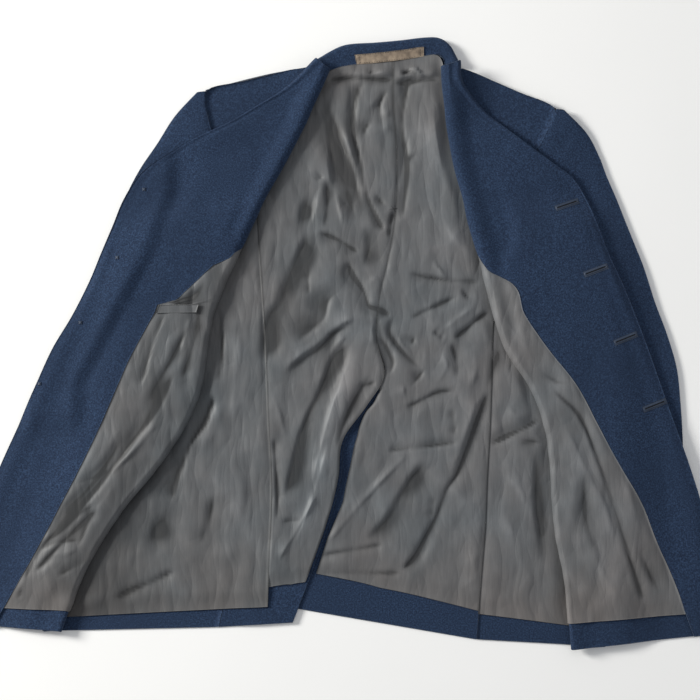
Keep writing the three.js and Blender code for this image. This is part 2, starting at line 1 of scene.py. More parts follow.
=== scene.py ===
from functools import partial
import math
import bmesh
import bpy
import numpy as np
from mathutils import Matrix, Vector


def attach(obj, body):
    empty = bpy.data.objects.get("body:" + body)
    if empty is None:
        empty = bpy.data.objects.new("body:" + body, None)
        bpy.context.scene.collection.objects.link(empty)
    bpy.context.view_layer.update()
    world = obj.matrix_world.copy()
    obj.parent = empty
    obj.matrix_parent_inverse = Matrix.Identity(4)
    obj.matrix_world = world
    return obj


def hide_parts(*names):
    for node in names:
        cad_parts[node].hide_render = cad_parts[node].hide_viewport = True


# Service dress jacket laid on its back, fronts opened out. Pattern sizes are in millimetres,
# wearer's right at -x and hem at -y; toMetres brings them to the frame of the model.

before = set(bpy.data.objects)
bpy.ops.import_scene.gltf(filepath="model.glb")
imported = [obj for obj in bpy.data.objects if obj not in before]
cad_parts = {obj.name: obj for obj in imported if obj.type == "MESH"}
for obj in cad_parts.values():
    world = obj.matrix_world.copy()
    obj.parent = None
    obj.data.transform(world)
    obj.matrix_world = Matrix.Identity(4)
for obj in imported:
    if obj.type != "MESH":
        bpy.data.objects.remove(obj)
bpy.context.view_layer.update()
print("frame loaded")

cameraSettings = {"looksAt": (0.010, -0.0156, 0.0), "standsAt": (0.010, -0.13419, 1.69586), "lens": 65.57}
# one low lamp at the side shows the creases; the others only soften its shadows
lightSettings = {
    "key": {"place": (-3.1, 1.0, 1.55), "size": 0.9, "power": 165, "colour": "#fffdf8"},
    "fill": {"place": (1.5, -0.6, 1.6), "size": 1.8, "power": 3.5, "colour": "#f2f6ff"},
    "top": {"place": (0.1, 0.9, 1.9), "size": 1.2, "power": 3.5, "colour": "#ffffff"},
}
roomBrightness = 0.38
floorColour = "#fafaf9"


def linear(hexColour, alpha=1.0):
    channels = [int(hexColour[i:i + 2], 16) / 255 for i in (1, 3, 5)]
    return [c / 12.92 if c <= 0.04045 else ((c + 0.055) / 1.055) ** 2.4 for c in channels] + [alpha]


def addNode(tree, kind, inputs=None, **settings):
    # One node: its settings, then each input set to a value or linked to (node, output).
    node = tree.nodes.new("ShaderNode" + kind)
    for name, value in settings.items():
        setattr(node, name, value)
    for name, value in (inputs or {}).items():
        if isinstance(value, tuple) and isinstance(value[0], bpy.types.Node):
            tree.links.new(value[0].outputs[value[1]], node.inputs[name])
        else:
            node.inputs[name].default_value = value
    return node


def setStops(ramp, *stops):
    for element, (position, colour) in zip(ramp.elements, stops):
        element.position, element.color = position, linear(colour)


def newObject(name, data):
    made = bpy.data.objects.new(name, data)
    bpy.context.collection.objects.link(made)
    return made


def newMaterial(name):
    # A material, the function that adds its nodes, and the place on the object that they read.
    material = bpy.data.materials.new(name)
    material.use_nodes = True
    material.node_tree.nodes.clear()
    add = partial(addNode, material.node_tree)
    return material, add, (add("TexCoord"), "Object")


def aimed(obj, place, target):
    obj.location = place
    obj.rotation_euler = (Vector(target) - Vector(place)).to_track_quat("-Z", "Y").to_euler()


def setStage():
    cameraData = bpy.data.cameras.new("camera")
    cameraData.sensor_width = 36
    cameraData.lens = cameraSettings["lens"]
    camera = newObject("camera", cameraData)
    aimed(camera, cameraSettings["standsAt"], cameraSettings["looksAt"])
    bpy.context.scene.camera = camera
    for name, light in lightSettings.items():
        data = bpy.data.lights.new(name, "AREA")
        data.size = light["size"]
        data.energy = light["power"]
        data.color = linear(light["colour"])[:3]
        aimed(newObject(name, data), light["place"], (0, 0, 0))
    world = bpy.data.worlds.new("room")
    world.use_nodes = True
    background = world.node_tree.nodes["Background"]
    background.inputs["Color"].default_value = linear("#f3f5f8")
    background.inputs["Strength"].default_value = roomBrightness
    bpy.context.scene.world = world
    bpy.context.scene.view_settings.view_transform = "Standard"
    # painted board: smooth matt white with a trace of roller mottle
    material, add, here = newMaterial("painted_board_matt_white")
    mottle = add("TexNoise", {"Vector": here, "Scale": 6.0})
    ramp = add("ValToRGB", {"Fac": (mottle, "Fac")})
    setStops(ramp.color_ramp, (0, floorColour), (1, "#fdfdfc"))
    shader = add("BsdfPrincipled", {"Base Color": (ramp, "Color"), "Roughness": 0.85})
    add("OutputMaterial", {"Surface": (shader, "BSDF")})
    mesh = bpy.data.meshes.new("floor")
    mesh.from_pydata([(-6, -6, 0), (6, -6, 0), (6, 6, 0), (-6, 6, 0)], [], [(0, 1, 2, 3)])
    mesh.materials.append(material)
    floor = newObject("floor", mesh)
    floor.location.z = -0.0005


setStage()
print("stage set")


def points(*numbers):
    return np.reshape(numbers, (-1, 2)).tolist()


# thicknesses and gaps, then the levels at which layers lie
cloth = {"wool": 2.0, "lining": 1.0, "gap": 0.4, "seam": 0.6}
liningLevel = cloth["wool"] + cloth["gap"]
foldedLevel = liningLevel + cloth["lining"] + cloth["wool"] + cloth["gap"] * 3
topLevel = foldedLevel + cloth["wool"] + cloth["gap"]
collarThickness = cloth["wool"] * 2 + cloth["gap"] * 2
outwardOf = {"right": -1, "left": 1}

# the cut: the same lines as the solids, each x y from the neck or the armhole down, or from the middle out
centreBack = {
    "right": points(58, 386, 58, 333, 62, 280, 63, 227, 60, 174, 51, 121, 39, 68, 35, 15, 45, -34, 25, -75,
        -6, -120, -12, -170, -26, -225, -49, -290, -75, -358),
    "left": points(58, 386, 58, 333, 62, 280, 63, 227, 60, 174, 51, 121, 39, 68, 35, 15, 45, -34, -2, -67,
        -37, -107, -57, -160, -74, -220, -90, -278, -106, -334),
}
sideSeam = {
    "right": points(-195, 352, -188, 313, -176, 275, -163, 240, -137, 213, -125, 185, -121, 130, -117, 75,
        -113, 20, -112, -45, -116, -110, -126, -172, -142, -235, -158, -300, -172, -364),
    "left": points(278, 327, 265, 297, 250, 264, 236, 232, 224, 200, 214, 165, 204, 125, 195, 70, 190, 20,
        188, -45, 185, -110, 181, -172, 178, -235, 172, -304, 166, -380),
}
liningSeam = {
    "right": sideSeam["right"][:9] + points(-110, -45, -107, -110, -103, -172, -104, -235, -107, -300,
                                            -109, -366),
    "left": sideSeam["left"],
}
sideFold = {
    "right": points(-200, 150, -218, 134, -237, 112, -256, 82, -272, 48, -286, 5, -298, -50, -313, -115,
        -334, -175, -360, -237, -383, -300, -399, -369),
    "left": points(262, 150, 278, 133, 294, 110, 310, 82, 322, 50, 330, 8, 333, -50, 334, -115, 336, -175,
        336, -237, 332, -304, 330, -389),
}
shoulder = {
    "right": points(-37, 367, -64, 381, -96, 377, -131, 369, -195, 352),
    "left": points(129, 363, 153, 379, 178, 371, 222, 351, 278, 327),
}
neckEdge = {
    "right": points(58, 388, 34, 385, 3, 382, -19, 377, -37, 367),
    "left": points(58, 388, 80, 391, 101, 394.5, 116, 395.5, 124, 387, 129, 363),
}
backNeck = points(-41, 371, -22, 378, 3, 383, 34, 386, 67, 390, 101, 396, 117, 398, 125, 393, 128, 382)
collarCrest = points(-50, 388, -30, 402, -5, 413, 34, 416, 67, 419, 101, 423, 121, 422, 136, 411, 148, 387)
collarFall = [12, 30, 42, 45, 45, 45, 42, 30, 12]

# side x y, roll x y, edge x y, and where the facing starts: 0 side, 1 roll begins, 2 roll ends, 3 edge
frontRows = {
    "right": [
        [-58, 380, -34, 379, -46, 390, 0.8], [-95, 374, -45, 353, -82, 355, 0.8],
        [-144, 362, -57, 327, -135, 322, 0.8], [-193, 349, -65, 308, -172, 300, 0.8],
        [-190, 308, -76, 286, -212, 281, 0.8], [-178, 275, -88, 262, -250, 257, 0.8],
        [-165, 240, -101, 238, -280, 233, 0.8], [-178, 208, -118, 208, -301, 200, 0.8],
        [-187, 170, -137, 170, -315, 165, 0.9], [-206, 126, -155, 130, -330, 128, 1.5],
        [-229, 88, -172, 92, -345, 90, 2.06], [-240, 45, -187, 48, -367, 45, 2.36],
        [-254, 0, -195, 0, -393, 0, 2.45], [-260, -50, -202, -48, -415, -50, 2.49],
        [-268, -100, -222, -98, -437, -100, 2.49], [-290, -150, -256, -150, -459, -150, 2.47],
        [-318, -200, -297, -200, -481, -205, 2.44], [-343, -250, -330, -250, -498, -255, 2.44],
        [-368, -300, -356, -300, -510, -303, 2.49], [-388, -368, -380, -368, -510, -360, 2.67]],
    "left": [
        [152, 378, 130, 380, 148, 387, 0.8], [182, 367, 131, 355, 151, 357, 0.8],
        [228, 347, 134, 327, 178, 322, 0.8], [275, 325, 136, 305, 207, 298, 0.8],
        [263, 290, 140, 280, 240, 272, 0.8], [249, 262, 144, 256, 272, 249, 0.8],
        [237, 232, 149, 234, 298, 229, 0.8], [247, 200, 157, 206, 316, 200, 0.8],
        [258, 165, 166, 170, 330, 165, 1.1], [267, 126, 178, 128, 343, 128, 1.6],
        [276, 88, 187, 90, 360, 90, 2.13], [290, 45, 197, 45, 378, 45, 2.19],
        [296, 0, 212, 0, 395, 0, 2.27], [300, -50, 243, -48, 412, -50, 2.33],
        [305, -100, 262, -100, 429, -100, 2.38], [309, -150, 269, -150, 446, -150, 2.47],
        [315, -200, 271, -200, 462, -203, 2.58], [313, -250, 276, -250, 475, -252, 2.63],
        [315, -304, 286, -306, 488, -300, 2.68], [316, -390, 292, -392, 490, -372, 2.8]],
}
rollRadius = [4.6, 4.6, 4.4, 4.2, 4.0] + [3.8] * 12 + [3.4, 3.1, 2.8]
# inner x y, outer x y
sleeveRows = {
    "right": [
        [-197, 348, -206, 347], [-193, 309, -236, 314], [-181, 276, -259, 278], [-168, 240, -282, 243],
        [-181, 207, -300, 207], [-196, 170, -314, 168], [-197, 140, -324, 138], [-188, 112, -336, 110],
        [-197, 70, -350, 68], [-207, 25, -368, 25], [-215, -20, -388, -20], [-228, -70, -408, -70],
        [-252, -120, -427, -120], [-284, -165, -443, -160], [-316, -205, -457, -197],
        [-342, -245, -468, -232]],
    "left": [
        [280, 324, 288, 323], [266, 291, 318, 292], [252, 262, 334, 262], [240, 232, 345, 232],
        [250, 200, 357, 203], [261, 165, 371, 166], [258, 135, 383, 135], [247, 108, 393, 108],
        [253, 65, 407, 62], [264, 20, 422, 20], [276, -25, 434, -25], [289, -70, 438, -70],
        [298, -115, 440, -115], [303, -165, 440, -165], [305, -215, 439, -215], [304, -275, 437, -275]],
}
buttonPlaces = points(-274, 213, -308, 121, -352, 35, -394, -46)


def ease(a):
    t = np.clip(a, 0, 1)
    return t * t * (3 - 2 * t)


def smooth(table, t):
    # A smooth curve through the rows of a table, t from 0 to 1: each stretch is a cubic that leaves
    # a row in the direction from the row before it to the row after it.
    rows = np.asarray(table, float)
    rows = np.vstack([2 * rows[0] - rows[1], rows, 2 * rows[-1] - rows[-2]])
    place = np.clip(np.asarray(t, float), 0, 1) * (len(table) - 1)
    first = np.minimum(place.astype(int), len(table) - 2)
    f = (place - first)[..., None]
    a, b, c, d = (rows[first + k] for k in range(4))
    bend, twist = 2 * a - 5 * b + 4 * c - d, 3 * b - a - 3 * c + d
    return 0.5 * (2 * b + (c - a) * f + bend * f ** 2 + twist * f ** 3)


def crossing(points, y):
    # The x of a line that runs down the body at the height y.
    line = smooth(points, np.linspace(0, 1, 200))
    order = np.argsort(line[:, 1])
    return np.interp(y, line[order, 1], line[order, 0])


def xy(point):
    return point[..., 0], point[..., 1]


def columns(table, *which):
    return [[row[i] for i in which] for row in table]


bodyOutline = {
    "right": points(-195, 352, -190, 308, -178, 275, -168, 240, -184, 205, -215, 170, -243, 135, -264, 95,
                    -280, 48) + sideFold["right"][5:],
    "left": points(278, 327, 263, 290, 250, 262, 240, 232, 254, 200, 280, 170, 303, 135, 320, 95,
                   330, 50) + sideFold["left"][5:],
}


# where one layer leaves another: how far out it starts to, and over what distance, in mm
fades = {"offBody": (13, 72), "sleeveInner": (34, 20), "sleeveOuter": (14, 42),
         "besideButtons": (24, 26), "endButtons": (34, 40)}
collarUnder = {"middle": 50, "across": (74, 76), "lowest": 285, "down": 75}
slackOver = [0, 1.7, 2.3, 2.8]      # how far back, lining, front and lapel stand off the collar's edge


def fadeOut(distance, start, over):
    return 1 - ease((distance - start) / over)


def collarLift(x, y, layer):
    # Rise of a layer over the folded collar: full inside the neck, eased away across and down.
    share = fadeOut(np.abs(x - collarUnder["middle"]), *collarUnder["across"])
    share = share * ease((y - collarUnder["lowest"]) / collarUnder["down"])
    return collarThickness * share + slackOver[layer] * 4 * share * (1 - share)


# Shares run from 0 to 1 and say which layer a place lies on; levels are the heights that follow.
def bodyShare(side, x, y):
    outside = (x - crossing(bodyOutline[side], y)) * outwardOf[side]
    return fadeOut(outside, *fades["offBody"])


def climb(y):
    # 0 above the armpit, 1 a hand's breadth below it
    return ease((212 - y) / 46)


def sleeveUnderLevel(side, x, y):
    return topLevel * bodyShare(side, x, y) * climb(y)


def sleeveTopLevel(side, x, y):
    atArmhole = foldedLevel - liningLevel
    return liningLevel + bodyShare(side, x, y) * (atArmhole + (topLevel - atArmhole) * climb(y))


def sleeveShare(side, x, y):
    inner = (crossing(columns(sleeveRows[side], 0, 1), y) - x) * outwardOf[side]
    outer = (x - crossing(columns(sleeveRows[side], 2, 3), y)) * outwardOf[side]
    cuff = sleeveRows[side][-1][1]
    across = fadeOut(inner, *fades["sleeveInner"]) * fadeOut(outer, *fades["sleeveOuter"])
    return across * ease((y - cuff + 95) / 60)


def restingLevel(side, x, y):
    onBody = topLevel * bodyShare(side, x, y)
    onSleeve = sleeveTopLevel(side, x, y) + cloth["wool"] + cloth["gap"] + 1
    share = np.where(y > 345, 0, sleeveShare(side, x, y))
    return onBody + (onSleeve - onBody) * share


def buttonShare(x, y):
    line = crossing(buttonPlaces, y)
    top, bottom = buttonPlaces[0][1], buttonPlaces[-1][1]
    beside = fadeOut(np.abs(x - line), *fades["besideButtons"])
    return beside * fadeOut(y - top, *fades["endButtons"]) * fadeOut(bottom - y, *fades["endButtons"])


def ventLift(x, y):
    # Rise of the right back over the underlap of the left, eased in beside it and down from the waist.
    underlap = crossing(centreBack["left"], y)
    return liningLevel * ease((x - underlap + 55) / 45) * ease((30 - y) / 60)


def openShare(side, x, y):
    # 1 where no front lies over the lining, 0 under a front.
    roll = crossing(columns(frontRows[side], 2, 3), y)
    return ease(((roll - x) * outwardOf[side] - 7) / 16)


def ripple(x, y, size, seed):
    # Gradient noise: random slopes on a square net of the given size, eased between the corners.
    turns = np.random.default_rng(seed).uniform(0, 2 * math.pi, (128, 128))
    px, py = x / size + 61.3, y / size + 57.7
    i, j = np.floor(px).astype(int), np.floor(py).astype(int)
    fx, fy = px - i, py - j

    def corner(di, dj):
        turn = turns[(i + di) % 128, (j + dj) % 128]
        return np.cos(turn) * (fx - di) + np.sin(turn) * (fy - dj)
    sx, sy = fx ** 3 * (fx * (6 * fx - 15) + 10), fy ** 3 * (fy * (6 * fy - 15) + 10)
    low = corner(0, 0) * (1 - sx) + corner(1, 0) * sx
    high = corner(0, 1) * (1 - sx) + corner(1, 1) * sx
    return 1.5 * (low * (1 - sy) + high * sy)


def facets(x, y, size, seed):
    # Shallow bowls that meet in sharp folds: the squared distance to the nearest of many scattered
    # points, one in each square of a net, on places pushed about by noise.
    px = (x + size * 0.5 * ripple(x, y, size * 1.6, seed + 1)) / size + 61.3
    py = (y + size * 0.5 * ripple(x, y, size * 1.6, seed + 2)) / size + 57.7
    spots = np.random.default_rng(seed).uniform(0, 1, (2, 128, 128))
    i, j = np.floor(px).astype(int), np.floor(py).astype(int)
    nearest = np.full(px.shape, 9.0)
    for di in (-1, 0, 1):
        for dj in (-1, 0, 1):
            a, b = (i + di) % 128, (j + dj) % 128
            away = (i + di + spots[0, a, b] - px) ** 2 + (j + dj + spots[1, a, b] - py) ** 2
            nearest = np.minimum(nearest, away)
    return nearest - 0.25


creaseSettings = {
    "reach": 5.0,         # in widths, where a crease has died away
    "softEnds": (4, 12),  # its ends rise over this many widths, and over no less than this in mm
    "ridge": 0.6,         # ridges stand lower than troughs are deep
    # the dark line is painted shade along the bottom of a trough
    "darkLine": 2.1,      # half the width of the dark line in a narrow trough, in mm
}


def pressed(creases, x, y):
    # Height of listed creases: across its line each falls away from a narrow crest, with one
    # steep flank and one long one, or as a bell if it is wide; along its line it eases in and out.
    # The second value is the tone: below 0 in troughs, painted shade with a painted dark line along
    # narrow ones; above 0 on ridges, a painted highlight.
    height = np.zeros_like(x)
    tone = np.zeros_like(x)
    for width, rise, *line in creases:
        line = np.reshape(line, (-1, 2)).astype(float)
        path = smooth(line, np.linspace(0, 1, 6 * len(line)))
        reach = width * creaseSettings["reach"]
        low, high = path.min(0) - reach, path.max(0) + reach
        near = np.nonzero((x > low[0]) & (x < high[0]) & (y > low[1]) & (y < high[1]))
        if not len(near[0]):
            continue
        px, py = x[near], y[near]
        best = np.full(px.shape, 1e9)
        place = np.zeros(px.shape)
        hand = np.zeros(px.shape)
        steps = np.linalg.norm(np.diff(path, axis=0), axis=1)
        run = np.concatenate([[0], np.cumsum(steps)])
        for k, (start, step) in enumerate(zip(path[:-1], np.diff(path, axis=0))):
            along = (px - start[0]) * step[0] + (py - start[1]) * step[1]
            along = np.clip(along / (steps[k] ** 2 + 1e-9), 0, 1)
            dx, dy = px - start[0] - along * step[0], py - start[1] - along * step[1]
            distance = np.hypot(dx, dy)
            closer = distance < best
            best = np.where(closer, distance, best)
            place = np.where(closer, run[k] + along * steps[k], place)
            hand = np.where(closer, np.sign(dx * step[1] - dy * step[0]), hand)
        place /= run[-1]
        widths, shortest = creaseSettings["softEnds"]
        soft = min(max(widths * width, shortest), 0.5 * run[-1])
        ends = ease(place * run[-1] / soft) * ease((1 - place) * run[-1] / soft)
        uneven = 0.8 + 0.35 * np.sin(place * 9 + width + line[0, 0])
        lean = math.copysign(1, math.sin(line[0, 0] * 1.7 + line[-1, 1]))
        flank = width * (1.25 + 0.75 * lean * hand * ease(best / (0.4 * width)))
        narrow = np.exp(-(np.sqrt(best ** 2 + 0.6) - 0.77) / flank)
        wide = np.exp(-(best / (1.15 * flank)) ** 2)
        share = float(ease((width - 5) / 4))
        window = np.clip(1 - (best / reach) ** 2, 0, 1) ** 2
        size = rise if rise < 0 else rise * creaseSettings["ridge"]
        body = size * ends * uneven * window * (narrow + (wide - narrow) * share)
        height[near] += body
        dark = np.exp(-(best / creaseSettings["darkLine"]) ** 2) * (1 - 0.7 * share)
        tone[near] += body * (1.3 + 1.2 * share) + 1.9 * (min(rise, 0) * ends * uneven * dark)
    return height, tone


frameShift = (10, -15.6)      # from the pattern's origin to the middle of the laid-out jacket


def toMetres(x, y, z):
    return np.stack([(x + frameShift[0]) / 1000, (y + frameShift[1]) / 1000, z / 1000], axis=-1)


def clothPiece(name, grid, fabric, node, press=None):
    # A thin closed shell on a grid of places: one skin half a thickness to each side along the
    # normals, and between them round the edge a middle line that stands out a little. Press says
    # how far each place lies in a hollow (below 0) or on a ridge (above 0); the materials turn it
    # into painted shade in hollows and a painted highlight on ridges.
    point, normal = grid
    thickness, material, slot = fabric
    rows, cols = point.shape[:2]
    half = thickness / 2
    rim = np.concatenate([
        np.arange(cols), np.arange(1, rows) * cols + cols - 1,
        (rows - 1) * cols + np.arange(cols - 2, -1, -1), np.arange(rows - 2, 0, -1) * cols])
    flat = point.reshape(-1, 3)
    flatNormal = normal.reshape(-1, 3)
    inside = np.zeros_like(point)
    inside[0] += point[1] - point[0]
    inside[-1] += point[-2] - point[-1]
    inside[:, 0] += point[:, 1] - point[:, 0]
    inside[:, -1] += point[:, -2] - point[:, -1]
    inside = inside.reshape(-1, 3)[rim]
    out = -inside / (np.linalg.norm(inside, axis=1, keepdims=True) + 1e-9)
    middle = flat[rim] + out * half * 0.6
    places = np.concatenate([flat + flatNormal * half, flat - flatNormal * half, middle])
    a = (np.arange(rows - 1)[:, None] * cols + np.arange(cols - 1)).ravel()
    quads = np.stack([a, a + cols, a + cols + 1, a + 1], axis=1)
    mid = (rows // 2) * cols + cols // 2
    across = np.cross(flat[mid + cols] - flat[mid], flat[mid + 1] - flat[mid])
    if np.dot(across, flatNormal[mid]) < 0:
        quads = quads[:, ::-1]
        rim = rim[::-1]
        places[2 * rows * cols:] = places[2 * rows * cols:][::-1].copy()
    count = rows * cols
    ring = 2 * count + np.arange(len(rim))
    after = np.roll(rim, -1)
    ringAfter = np.roll(ring, -1)
    faces = np.concatenate([
        quads, quads[:, ::-1] + count,
        np.stack([rim, ring, ringAfter, after], axis=1),
        np.stack([ring, rim + count, after + count, ringAfter], axis=1)])
    faces = windOutward(places, faces)
    used, back = np.unique(faces, return_inverse=True)
    piece = addPiece(name, places[used], back.reshape(-1, 4).tolist(), material, node)
    depth = np.zeros(count) if press is None else press.ravel()
    depth = np.concatenate([depth, depth, depth[rim]])[used]
    piece.data.attributes.new("press", "FLOAT", "POINT").data.foreach_set("value", depth.astype(np.float32))


def windOutward(places, faces):
    # All faces agree already, so the sign of the volume tells if they point out.
    p = places[faces]
    volume = np.einsum("ij,ij->i", p[:, 0], np.cross(p[:, 1], p[:, 2])).sum()
    volume += np.einsum("ij,ij->i", p[:, 0], np.cross(p[:, 2], p[:, 3])).sum()
    return faces if volume > 0 else faces[:, ::-1]


def addPiece(name, places, faces, material, node=None):
    mesh = bpy.data.meshes.new(name)
    mesh.from_pydata(toMetres(*places.T).tolist(), [], faces)
    mesh.shade_smooth()
    mesh.materials.append(material)
    piece = newObject(name, mesh)
    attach(piece, "root")
    if node:
        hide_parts(node)
    return piece


def spaced(length, step):
    # Even steps from 0 to 1, with one more close to each end so that edges stay crisp.
    even = np.linspace(0, 1, max(3, int(round(length / step)) + 1))
    close = 0.6 / length
    return np.concatenate([[0, close], even[1:-1], [1 - close, 1]])


skins = {}


def keepSkin(name, point, normal, thickness):
    # Keeps the upper skin of a piece, for the sewing that lies on it.
    top = normal[..., 2] > 0.9
    skins[name] = point[top] + normal[top] * thickness / 2


def heightOn(name, x, y):
    # Height of a kept skin at some places: the mean of its four nearest points, near ones first.
    x, y = np.broadcast_arrays(np.asarray(x, float), np.asarray(y, float))
    skin = skins[name]
    away = np.hypot(x.ravel()[:, None] - skin[:, 0], y.ravel()[:, None] - skin[:, 1])
    best = np.argpartition(away, 4, axis=1)[:, :4]
    weight = 1 / (np.take_along_axis(away, best, 1) ** 2 + 0.5)
    return ((skin[best, 2] * weight).sum(1) / weight.sum(1)).reshape(x.shape)


def laidFlat(x, y, z):
    # Places of a piece that faces up, with their normals.
    point = np.stack([x, y, z], -1)
    return point, np.zeros_like(point) + [0, 0, 1]


def netQuads(rows, cols):
    # Four-cornered faces of a net that closes round from its last column to its first.
    row, col = np.arange(rows - 1)[:, None] * cols, np.arange(cols)
    a, b = (row + col).ravel(), (row + (col + 1) % cols).ravel()
    return np.stack([a, b, b + cols, a + cols], 1)


def backPlaces(side, seams, s, t, gap=cloth["seam"]):
    # A flat piece between centre back, seam, neck with shoulder, and hem: the sum of the surface
    # across and the surface down, less the one between the corners.
    hand = outwardOf[side]
    sAll, tAll = s[None, :], t + 0 * s[None, :]
    inner, outer = smooth(centreBack[side], tAll), smooth(seams[side], tAll)
    inner[..., 0] += hand * gap / 2
    outer[..., 0] -= hand * gap / 2
    first, last = smooth(centreBack[side], 0), smooth(seams[side], 0)
    neck = smooth(neckEdge[side], np.clip(s / 0.4, 0, 1))
    ridge = smooth(shoulder[side], np.clip((s - 0.4) / 0.6, 0, 1))
    top = np.where(s[:, None] < 0.4, neck, ridge)
    top = top + (first - top[0]) * (1 - s[:, None]) + (last - top[-1]) * s[:, None]
    hem = np.array([smooth(centreBack[side], 1), smooth(seams[side], 1)])
    hem = hem[0] + (hem[1] - hem[0]) * s[:, None]
    sAll, tAll = sAll[..., None], tAll[..., None]
    across = inner * (1 - sAll) + outer * sAll
    down = top * (1 - tAll) + hem * tAll
    topCorners = top[0] * (1 - sAll) + top[-1] * sAll
    hemCorners = hem[0] * (1 - sAll) + hem[-1] * sAll
    return xy(across + down - (topCorners * (1 - tAll) + hemCorners * tAll))


backSettings = {"width": 190, "length": 740, "step": 5.0}


def makeBack(side, wool):
    s, t = (spaced(backSettings[size], backSettings["step"]) for size in ("width", "length"))
    x, y = backPlaces(side, sideSeam, s, t[:, None])
    vent = ventLift(x, y) if side == "right" else 0
    z = cloth["wool"] / 2 + collarLift(x, y, 0) + vent
    clothPiece(f"back_panel_{side}", laidFlat(x, y, z), wool, f"back_{side}")


# creases of the lining: width, rise, and x y along the line
backCreases = {
    "right": [
        (5, 2.2, -54, 338, -35, 305, -30, 269, -28, 235, -23, 212),
        (11, -3.0, -39, 346, -23, 305, -7, 260, 8, 214, 21, 169),
        (6, 2.4, -7, 305, 0, 269, 15, 223, 30, 196),
        (3, -2.6, 15, 362, 8, 338, 4, 305, 8, 276, 15, 246, 21, 211, 36, 177, 46, 159),
        (4, 1.4, 49, 354, 32, 331, 19, 320), (3.5, -1.6, 51, 354, 40, 331, 42, 309, 46, 298),
        (3.5, 1.5, 54, 327, 49, 313, 51, 287), (5, -1.8, 30, 316, 19, 294, 22, 278),
        (4, -1.8, 32, 211, 52, 186), (3, -2.0, 59, 189, 54, 169, 52, 149), (3, -1.2, -46, 227, -35, 235),
        (9, -2.2, -55, 214, -64, 169, -68, 149), (6, 2.0, -35, 233, -44, 196, -54, 159),
        (6, -2.0, -32, 233, -30, 196, -35, 159), (5, 1.8, -21, 223, -13, 186, -7, 159),
        (5, -1.4, -7, 223, 4, 186, 8, 169),
        (10, -3.0, -54, 162, -64, 128, -80, 93, -92, 63, -105, 45, -110, 13, -113, -22),
        (3, -1.2, -60, 120, -56, 96, -56, 72), (9, -2.2, -15, 81, -31, 65, -37, 42, -57, 26, -76, 8),
        (6, 2.2, 13, 45, -9, 36, -32, 17, -64, -6, -92, -34),
        (7, -2.0, 4, 30, -19, 24, -37, 4, -60, -11, -88, -28), (5, 1.8, 0, 26, -19, 4, -32, -11),
        (7, -3.2, 0, 8, -19, -11, -31, -38, -41, -61, -53, -84, -64, -116, -71, -147, -84, -196),
        (4, -2.4, -42, 158, -19, 149, 4, 135, 13, 128),
        (5, -3.4, -5, 120, 4, 100, 19, 77, 25, 59, 36, 55, 48, 49, 55, 40),
        (9, -2.6, 23, 168, 25, 132, 23, 104), (3, 1.2, 23, 87, 36, 100), (4, 1.8, 28, 36, 32, 4),
        (3, -1.4, 11, -50, 36, -42), (9, 2.6, 8, 13, -7, -34, -23, -80, -37, -133, -50, -186),
        (6, -2.2, 29, -30, 8, -64, -9, -100, -16, -133),
        (8, 1.8, -26, -120, -40, -172, -55, -218, -71, -258), (4, 1.6, -42, -188, -63, -226, -95, -278),
        (3, -1.0, -92, -226, -63, -224), (3, -1.6, -101, -116, -96, -188, -96, -226),
        (3, 1.2, -100, -61, -90, -95, -85, -116), (4, 1.8, -36, 370, -7, 373, 47, 371, 60, 369),
        (3, -2.2, -34, 363, -7, 366, 47, 364, 60, 361), (3, 1.6, 30, 384, 40, 374, 52, 379),
        (3, -1.4, 20, 378, 36, 368)],
    "left": [
        (4, 1.8, 58, 367, 72, 366, 98, 370, 124, 371), (3, -2.4, 58, 360, 72, 359, 98, 363, 124, 364),
        (3, 2.0, 62, 380, 72, 371, 84, 378, 95, 369, 104, 375), (2.5, -2.6, 66, 370, 80, 375, 94, 366),
        (2.5, 1.8, 84, 386, 90, 375, 101, 368),
        (4, -2.6, 80, 371, 74, 338, 69, 305, 74, 272, 77, 250, 75, 214, 72, 191, 70, 174),
        (3, -1.0, 77, 253, 90, 267), (5, -2.6, 55, 45, 52, 24, 61, 8, 77, -11, 96, -27),
        (5, 2.2, 61, 37, 63, 18, 73, 2, 90, -14), (4, -2.0, 36, 45, 41, 17, 48, 4, 57, -18, 50, -36),
        (3.5, -1.6, 80, 42, 143, 72), (3.5, -1.3, 77, 103, 127, 93, 176, 91),
        (3.5, 1.4, 108, 123, 127, 97, 143, 81), (3.5, -1.3, 144, 87, 163, 61), (4, -1.6, 109, 26, 126, 13),
        (4, -2.6, 191, 55, 169, 40, 153, 26, 137, 14), (4, 1.8, 165, 59, 137, 37, 124, 26),
        (4, -1.6, 133, 13, 140, -11, 142, -38), (4, -1.6, 73, -77, 92, -69, 118, -56, 143, -54),
        (4, -1.6, 87, 21, 80, 4), (4, -1.8, 101, -24, 80, -50), (4, 1.3, 68, -38, 73, -69),
        (3, -1.4, 49, -134, 101, -128, 146, -122), (3, 1.3, 77, -137, 24, -192, -30, -254),
        (4, -2.6, 184, -54, 170, -88, 156, -129, 141, -165,
         128, -184, 113, -222, 100, -246, 85, -273, 68, -290),
        (5, 1.8, 175, -56, 160, -91, 146, -129, 131, -165),
        (9, -2.2, 104, -143, 69, -192, 49, -226, 21, -254), (3, -1.0, 111, -192, 107, -226),
        (3, -1.0, -41, -271, 24, -260, 45, -256), (3, -1.0, -41, -294, 68, -294),
        (3, -1.0, 135, -75, 139, -116), (5, -2.2, 193, 36, 200, 8, 191, -22, 183, -52),
        (5, 1.5, 120, 0, 128, -22, 114, -46), (5, 1.5, 160, 6, 167, -24, 157, -56),
        (6, 1.3, 93, 67, 115, 53, 136, 56), (7, 1.4, 121, 188, 137, 154, 158, 127),
        (12, 1.6, 105, 338, 116, 269, 129, 201), (5, 1.0, 158, -258, 164, -297, 144, -316)],
}
